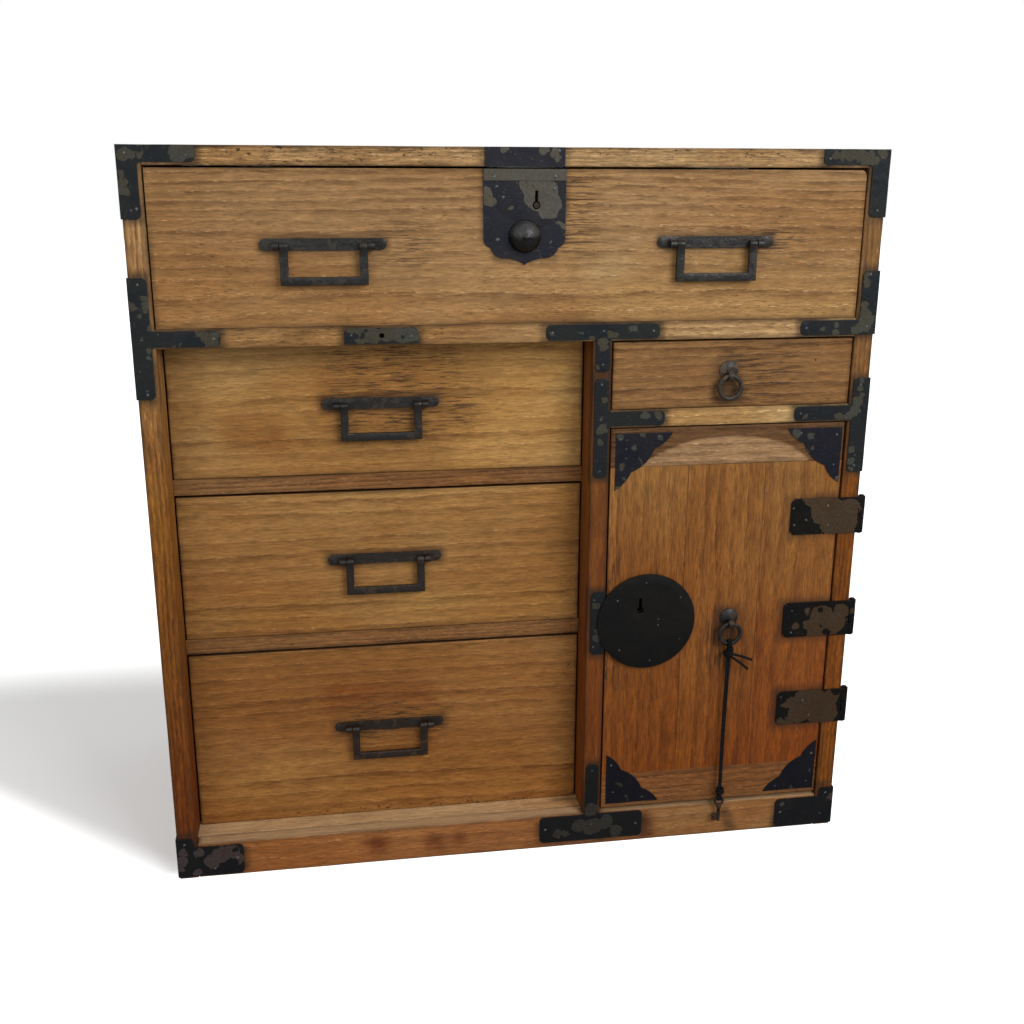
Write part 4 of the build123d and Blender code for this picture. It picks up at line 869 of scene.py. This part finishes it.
worn_iron("door_hinge_straps", metal["strap"], 0.0004, 0.0002)
worn_iron("hinge_side_leaves", metal["strap"], 0.0004, 0.0)
worn_iron("hinge_pins", metal["strap"], 0.0004, 0.0)
worn_iron("door_lock_disc", metal["disc"], 0.0005, 0.0, smooth=25)
for node in ("top_left_bail", "top_right_bail", "upper_bail", "middle_bail", "lower_bail"):
    worn_iron(node, metal["handle"], 0.0011, 0.00006, 0.012, 40, 3)
for node in ("top_drawer_handle_plates", "upper_handle_plate", "middle_handle_plate",
             "lower_handle_plate"):
    worn_iron(node, metal["handle"], 0.0006, 0.00006, 0.012)
for node in ("top_lock_case", "top_lock_bolt", "door_lock_case", "door_lock_bolt"):
    nodes[node].data.materials.clear()
    nodes[node].data.materials.append(metal["works"])

# %% [markdown]
# ## The push button
# A turned dome stands out of the lock plate and ends in a nipple. A profile of a few points is spun
# round the button's axis, which is how the smith's lathe work looks too.


# %% Spin a profile
full_turn = 2 * math.pi
weld = 1e-6  # points nearer than this are one


def tidied(mesh):
    """Weld what a spin leaves double and turn its faces outwards."""
    bmesh.ops.remove_doubles(mesh, verts=mesh.verts, dist=weld)
    bmesh.ops.recalc_face_normals(mesh, faces=mesh.faces)


def spun(profile, centre, steps=64):
    """Turn (radius, depth) points about the line through centre that runs front to back."""
    mesh = bmesh.new()
    x, z = centre
    line = [mesh.verts.new((x + radius, depth, z)) for radius, depth in profile]
    edges = [mesh.edges.new(pair) for pair in zip(line, line[1:])]
    bmesh.ops.spin(mesh, geom=line + edges, cent=(x, 0, z), axis=(0, 1, 0), angle=full_turn,
                   steps=steps, use_merge=True)
    tidied(mesh)
    return mesh


shank = [(0.0, -0.1912), (0.004, -0.1912), (0.004, -0.2021)]
button_radius, dome_rise, dome_foot = 0.018, 0.0158, -0.207
rim = [(0.0172, -0.2021), (button_radius, -0.2029), (button_radius, -0.2064)]
dome = []
for step in range(1, 15):
    turn = math.radians(78 * step / 14)
    dome.append((button_radius * math.cos(turn), dome_foot - dome_rise * math.sin(turn)))
nipple = [(0.0034, -0.2232), (0.0032, -0.2246), (0.0036, -0.2257), (0.0028, -0.2265),
          (0.0014, -0.2269), (0.0, -0.2270)]
button = spun(shank + rim + dome + nipple, (0.003, 0.802))
file_piece("push_button", button, "lock_button", metal["knob"], 30, ["top_lock_button"])

# %% [markdown]
# ## Ring pulls
# A ring of round wire hangs in the eye of a domed rosette. The ring is a small circle spun once round
# a big one. The rosette, a dome with a raised rim and a half-round tab for its eye, is its solid
# dressed like the sheet iron.


# %% Rings and rosettes
def ring_piece(name, node, body, middle, finish, radius=0.0138, wire=0.0027):
    """A slightly uneven ring of wire in the plane of the front."""
    mesh = bmesh.new()
    made = bmesh.ops.create_circle(mesh, cap_ends=False, segments=18, radius=wire)["verts"]
    for vert in made:
        vert.co = Vector((middle[0] + radius + vert.co.x, middle[1] + vert.co.y, middle[2]))
    bmesh.ops.spin(mesh, geom=mesh.verts[:] + mesh.edges[:], cent=middle, axis=(0, 1, 0),
                   angle=full_turn, steps=56, use_merge=True)
    tidied(mesh)
    return file_piece(name, mesh, body, finish, 60, [node])


rings = [("small_ring", "small_drawer_ring", "small_drawer_rosette", metal["pull"]),
         ("door_pull_ring", "door_ring", "door_rosette", metal["door_pull"])]
for name, node, rosette, finish in rings:
    low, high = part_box(node)
    ring_piece(name, node, body_of[node], (low + high) / 2, finish)
    worn_iron(rosette, finish, 0.0003, 0.0, smooth=40)

# %% [markdown]
# ## The key's cord
# A black cord hangs doubled from the door's ring and carries the key. Its line is one smooth curve
# through the same few points as the solid's. The two strands follow points read from that curve, each
# to its left and right, and turn a little round each other on the way down.

# %% Line of the cord
ring_x, key_x = 0.2755, 0.2743  # the cord hangs a little askew
cord_depth = -0.2125
cord_route = [
    (ring_x, cord_depth, 0.28170),
    (ring_x, cord_depth, 0.26462),
    (0.27390, -0.21303, 0.17006),
    (key_x, cord_depth, 0.07550),
]


def smooth_line(points, name, resolution=24):
    """Points along a smooth curve that has the given control points."""
    curve = bpy.data.curves.new(name, "CURVE")
    curve.dimensions = "3D"
    curve.resolution_u = resolution
    spline = curve.splines.new("NURBS")
    spline.points.add(len(points) - 1)
    for point, place in zip(spline.points, points):
        point.co = (*place, 1)
    spline.order_u = 3
    spline.use_endpoint_u = True
    holder = bpy.data.objects.new(name, curve)
    line = bpy.data.meshes.new_from_object(holder)
    path = [vert.co.copy() for vert in line.vertices]
    bpy.data.objects.remove(holder)
    return path


cord_path = smooth_line(cord_route, "cord_line")


# %% [markdown]
# Strands, tails and loops are round tubes. One helper sweeps a circle along a list of points: it makes
# a circle at the first point and extrudes it from point to point, turning it with the line.


# %% Sweep a strand
def strand(mesh, path, radius, sides=10):
    """Sweep a circle along a path and close its ends."""
    rims = []
    side = Vector((1, 0, 0))
    for i, point in enumerate(path):
        ahead = (path[min(i + 1, len(path) - 1)] - path[max(i - 1, 0)]).normalized()
        side = (side - ahead * side.dot(ahead)).normalized()
        up = ahead.cross(side)
        at_end = i in (0, len(path) - 1)
        rim = bmesh.ops.create_circle(mesh, cap_ends=at_end, segments=sides, radius=radius)["verts"]
        for vert in rim:
            vert.co = point + side * vert.co.x + up * vert.co.y
        rims.append([edge for edge in {e for v in rim for e in v.link_edges} if edge.is_valid])
    for first, second in zip(rims, rims[1:]):
        bmesh.ops.bridge_loops(mesh, edges=first + second)


strand_radius, strand_offset = 0.0016, 0.0014
doubled = bmesh.new()
for half_turn in (0, math.pi):
    beside = []
    for i, point in enumerate(cord_path):
        turn = half_turn + 0.9 * (i / (len(cord_path) - 1) - 0.3)
        below_ring = Vector((0, 0, -0.0008 if i == 0 else 0))
        beside.append(point + below_ring + Vector((math.cos(turn), math.sin(turn), 0)) * strand_offset)
    strand(doubled, beside, strand_radius)
bmesh.ops.recalc_face_normals(doubled, faces=doubled.faces)

r = Recipe("black_cord", Roughness=0.85, Specular_IOR_Level=0.12)
lay = r.vector("DOT_PRODUCT", r.place, (0.55, 0.4, 1.0), output="Value")
twist = r.calc("SINE", r.times(lay, 4200.0))
fuzz = r.grain_of(r.place, scale=900.0, detail=2)
dye = r.mix(r.span(fuzz, 0.3, 0.7), tint(8, 8, 9), tint(26, 25, 26))
r.paint("Base Color", dye)
r.height(r.calc("MULTIPLY_ADD", twist, 0.3, fuzz), 0.0004)
cord_finish = r.finish
cord_piece = file_piece("hanging_cord", doubled, "key_on_cord", cord_finish, 60,
                        ["key_cord"])

# %% [markdown]
# The knots are turns of the same strand wound round the doubled cord, pulled tight. A circle spun with
# a small step upwards on each turn winds them. Two loops go round the ring's wire and round the bow of
# the key, and two cut tails stick out of the upper knot.


# %% Knots, loops and tails
steps_of_turn = 18


def wound(mesh, x, low, turns, radius, thick, pitch, lean=0.0):
    """A strand wound round an upright line, with a slight lean."""
    made = bmesh.ops.create_circle(mesh, cap_ends=False, segments=10, radius=thick)["verts"]
    for vert in made:
        vert.co = Vector((x + radius + vert.co.x, cord_depth, low + vert.co.y))
    edges = list({e for v in made for e in v.link_edges})
    bmesh.ops.spin(mesh, geom=made + edges, cent=(x, cord_depth, low), axis=(lean, 0, 1),
                   angle=full_turn * turns, steps=int(steps_of_turn * turns),
                   dvec=(0, 0, pitch / steps_of_turn))


def loop_round(mesh, middle, radius, thick):
    """A closed loop of strand in the plane that runs front to back."""
    made = bmesh.ops.create_circle(mesh, cap_ends=False, segments=10, radius=thick)["verts"]
    for vert in made:
        vert.co = Vector((middle[0] + vert.co.x, middle[1], middle[2] + radius + vert.co.y))
    edges = list({e for v in made for e in v.link_edges})
    bmesh.ops.spin(mesh, geom=made + edges, cent=middle, axis=(1, 0, 0), angle=full_turn, steps=24,
                   use_merge=True)


ring_low, bow_top, knot_middle = 0.28442, 0.0597, 0.26472
loop_thick, loop_apart = 0.00138, 0.00135
knots = bmesh.new()
for side in (-1, 1):
    loop_round(knots, (ring_x + side * loop_apart, cord_depth, ring_low), 0.0047, loop_thick)
wound(knots, ring_x, 0.2668, 3.0, 0.0040, 0.0019, 0.0036, 0.12)
wound(knots, ring_x, 0.2690, 2.0, 0.0044, 0.0018, 0.0032, -0.3)
tails = [((3.6, -2.0, 5.3), (17.0, -4.5, 2.8), (31.0, -3.0, -4.2)),
         ((3.2, -2.5, 1.3), (14.0, -5.0, -5.2), (26.0, -3.5, -16.7))]
for tail in tails:
    points = [(ring_x + x / 1000, cord_depth + y / 1000, knot_middle + z / 1000) for x, y, z in tail]
    strand(knots, smooth_line(points, "tail", 12), 0.0017)
for side in (-1, 1):
    loop_round(knots, (key_x + side * loop_apart, cord_depth, bow_top), 0.0037, loop_thick)
wound(knots, key_x, 0.0650, 2.6, 0.0045, 0.0019, 0.0034, 0.15)
bmesh.ops.remove_doubles(knots, verts=knots.verts, dist=weld)
bmesh.ops.holes_fill(knots, edges=[e for e in knots.edges if e.is_boundary], sides=12)
bmesh.ops.recalc_face_normals(knots, faces=knots.faces)
knot_piece = file_piece("cord_knots", knots, "key_on_cord", cord_finish, 60,
                        ["key_cord_knots"])

# %% [markdown]
# ## The key
# A small iron key: a round bow, a collar, a straight shank and a bit with one notch.

# %% Key
key_piece = worn_iron("key", metal["works"], 0.0003, 0.0, smooth=40)

# %% [markdown]
# ## Nails
# Small domed nails hold every plate. Each head is a flattened ball, made with create_uvsphere and
# squashed, and a group of them on one body is one piece. Brighter patches on the heads are painted
# glints.

# %% Nail finish and helper
r = Recipe("nail_iron", Metallic=0.0, Specular_IOR_Level=0.3)
# Brighter patches of this noise on the heads are painted glints.
shine = r.grain_of(r.place, scale=330.0, detail=2)
r.paint("Base Color", r.mix(r.span(shine, 0.42, 0.62), tint(42, 43, 44), tint(96, 96, 93)))
r.paint("Roughness", r.span(shine, 0.3, 0.7, 0.3, 0.55))
r.height(shine, 0.0003)
nail_finish = r.finish
chance = random.Random(7)


def nails(name, body, spots, radius=0.0016, height=0.45):
    """Domed heads at (x, depth, z) in millimetres, facing forwards."""
    mesh = bmesh.new()
    for x, y, z in spots:
        size = radius * chance.uniform(0.8, 1.2)
        made = bmesh.ops.create_uvsphere(mesh, u_segments=12, v_segments=8, radius=size)["verts"]
        turn = chance.uniform(-0.5, 0.5)
        for vert in made:
            a, b, c = vert.co
            wider = a * math.cos(turn) * 1.1
            vert.co = Vector((x / 1000 + wider, y / 1000 + b * height, z / 1000 + c))
    return file_piece(name, mesh, body, nail_finish, 60)


front_spots = [
    (-430, 831), (-424, 833), (-432, 891), (-368, 889), (366, 889), (431, 891), (430, 830),
    (-430, 752), (-431, 690), (-429, 629), (-352, 691), (429, 755), (352, 691), (430, 692),
    (429, 620), (430, 586), (353, 585), (429, 530), (429, 516), (37, 691), (99, 692), (160, 691),
    (99, 652), (98, 628), (98, 585), (169, 585), (98, 520), (-198, 692), (-129, 690), (42, 896),
    (-366, 26), (-431, 50), (-395, 12), (36, 28), (160, 27), (98, 111), (98, 30), (366, 25),
    (430, 50), (424, 18),
]


def at_depth(depth, spots):
    """Spots (x, z) as places at one depth."""
    return [(x, depth, z) for x, z in spots]


on_bracket, on_corner_plate, on_strap, on_lock, on_band = -206.5, -205.5, -206.0, -206.0, -207.0
nails("carcass_nails", "carcass", at_depth(on_bracket, front_spots + [(95, 352), (95, 288)]))
door_spots = [(131, 547), (131, 535), (124, 560), (172, 562), (403, 557), (402, 518), (407, 501),
              (356, 560), (128, 76), (168, 66), (124, 116), (400, 70), (356, 66), (405, 112)]
strap_spots = [(353, 462), (355, 440), (371, 446), (399, 464), (401, 438), (361, 322), (382, 321),
               (368, 301), (362, 292), (355, 199), (356, 168), (386, 192), (396, 170)]
nails("door_nails", "door",
      at_depth(on_corner_plate, door_spots) + at_depth(on_strap, strap_spots), 0.0014)

disc_spots = [(162, 373), (208, 351), (125, 351), (179, 323.5), (179, 315), (209, 294), (129, 283),
              (170, 266)]
disc_x, disc_z, disc_radius = 164, 320, 64
on_disc = []
for x, z in disc_spots:
    out = ((x - disc_x) ** 2 + (z - disc_z) ** 2) / disc_radius**2
    on_disc.append((x, -209.2 - 1.5 * (1 - out), z))
nails("disc_nails", "door", on_disc, 0.0011)
lock_spots = [(-30, 857), (37, 855), (-22, 845), (-28, 798), (33, 795)]
nails("lock_nails", "top_drawer",
      at_depth(on_lock, lock_spots) + at_depth(on_band, [(-33, 868), (38, 868)]), 0.0022)

# %% [markdown]
# ## Floor and light
# The chest stands on a white floor that runs into a white background. The floor and the world are
# white only to rays that the eye or a reflection sends; the wood is lit by the plain grey world and
# by two soft lamps, so colours render about as written. The floor's glow is weak only close to the
# chest on its left, so the chest's shadow shows there and nowhere else.

# %% Floor
ground = bmesh.new()
bmesh.ops.create_grid(ground, x_segments=1, y_segments=1, size=14)
bmesh.ops.translate(ground, verts=ground.verts, vec=(0, 0, -0.0004))
floor_data = bpy.data.meshes.new("floor")
ground.to_mesh(floor_data)
ground.free()
floor = bpy.data.objects.new("floor", floor_data)
bpy.context.scene.collection.objects.link(floor)
floor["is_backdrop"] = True
r = Recipe("floor_white", Roughness=0.9, Base_Color=(0.8, 0.8, 0.8, 1), Specular_IOR_Level=0.0)
seen = r.add("ShaderNodeLightPath", "Is Camera Ray", {})
# The floor's glow for the eye is full white in front, to the right and far away, and drops to 0.22
# close to the chest on its left, where the lamps' real shadow shows.
slanted = r.calc("MULTIPLY_ADD", r.wide, 0.9, r.deep)
far = r.calc("MAXIMUM", r.span(r.deep, 0.36, 0.64), r.span(slanted, -0.55, -0.67))
far = r.calc("MAXIMUM", far, r.span(r.deep, -0.17, -0.21))
far = r.calc("MAXIMUM", far, r.span(r.wide, 0.3, 0.45))
far = r.calc("MULTIPLY_ADD", far, 0.78, 0.22)
r.paint("Base Color", r.mix(seen, (0.4, 0.4, 0.4), (0.8, 0.8, 0.8)))
r.paint("Emission Color", (1.0, 1.0, 1.0))
r.paint("Emission Strength", r.times(seen, far))
floor_data.materials.append(r.finish)


# %% World and lamps
world = bpy.data.worlds.new("studio")
bpy.context.scene.world = world
world.use_nodes = True
net = world.node_tree
net.nodes.clear()
path = net.nodes.new("ShaderNodeLightPath")
either = net.nodes.new("ShaderNodeMath")
either.operation = "MAXIMUM"
net.links.new(path.outputs["Is Camera Ray"], either.inputs[0])
net.links.new(path.outputs["Is Glossy Ray"], either.inputs[1])
plain, white = net.nodes.new("ShaderNodeBackground"), net.nodes.new("ShaderNodeBackground")
plain.inputs["Color"].default_value = (0.5, 0.5, 0.5, 1)
white.inputs["Color"].default_value = (1, 1, 1, 1)
choose, end = net.nodes.new("ShaderNodeMixShader"), net.nodes.new("ShaderNodeOutputWorld")
net.links.new(either.outputs[0], choose.inputs[0])
net.links.new(plain.outputs[0], choose.inputs[1])
net.links.new(white.outputs[0], choose.inputs[2])
net.links.new(choose.outputs[0], end.inputs["Surface"])


def softbox(name, place, aim, size, power):
    """A large square lamp that faces a point."""
    lamp = bpy.data.objects.new(name, bpy.data.lights.new(name, "AREA"))
    lamp.data.size = size
    lamp.data.energy = power
    lamp.location = place
    lamp.rotation_euler = (Vector(aim) - Vector(place)).to_track_quat("-Z", "Y").to_euler()
    bpy.context.scene.collection.objects.link(lamp)


softbox("key_lamp", (1.3, -2.2, 1.9), (0, 0, 0.5), 1.5, 46)
softbox("fill_lamp", (-1.6, -2.2, 1.3), (0, 0, 0.5), 1.6, 12)
bpy.context.scene.view_settings.view_transform = "Standard"

# %% [markdown]
# ## The size
# The dressed chest must be as large as the solids. The last line prints by how much its box has grown
# beyond the box of the solids, in millimetres.

# %% Finish
new_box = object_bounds()
grown = [[round((n - c) * 1000, 2) for n, c in zip(a, b)] for a, b in zip(new_box, cad_box)]
print("grown by (mm):", grown)
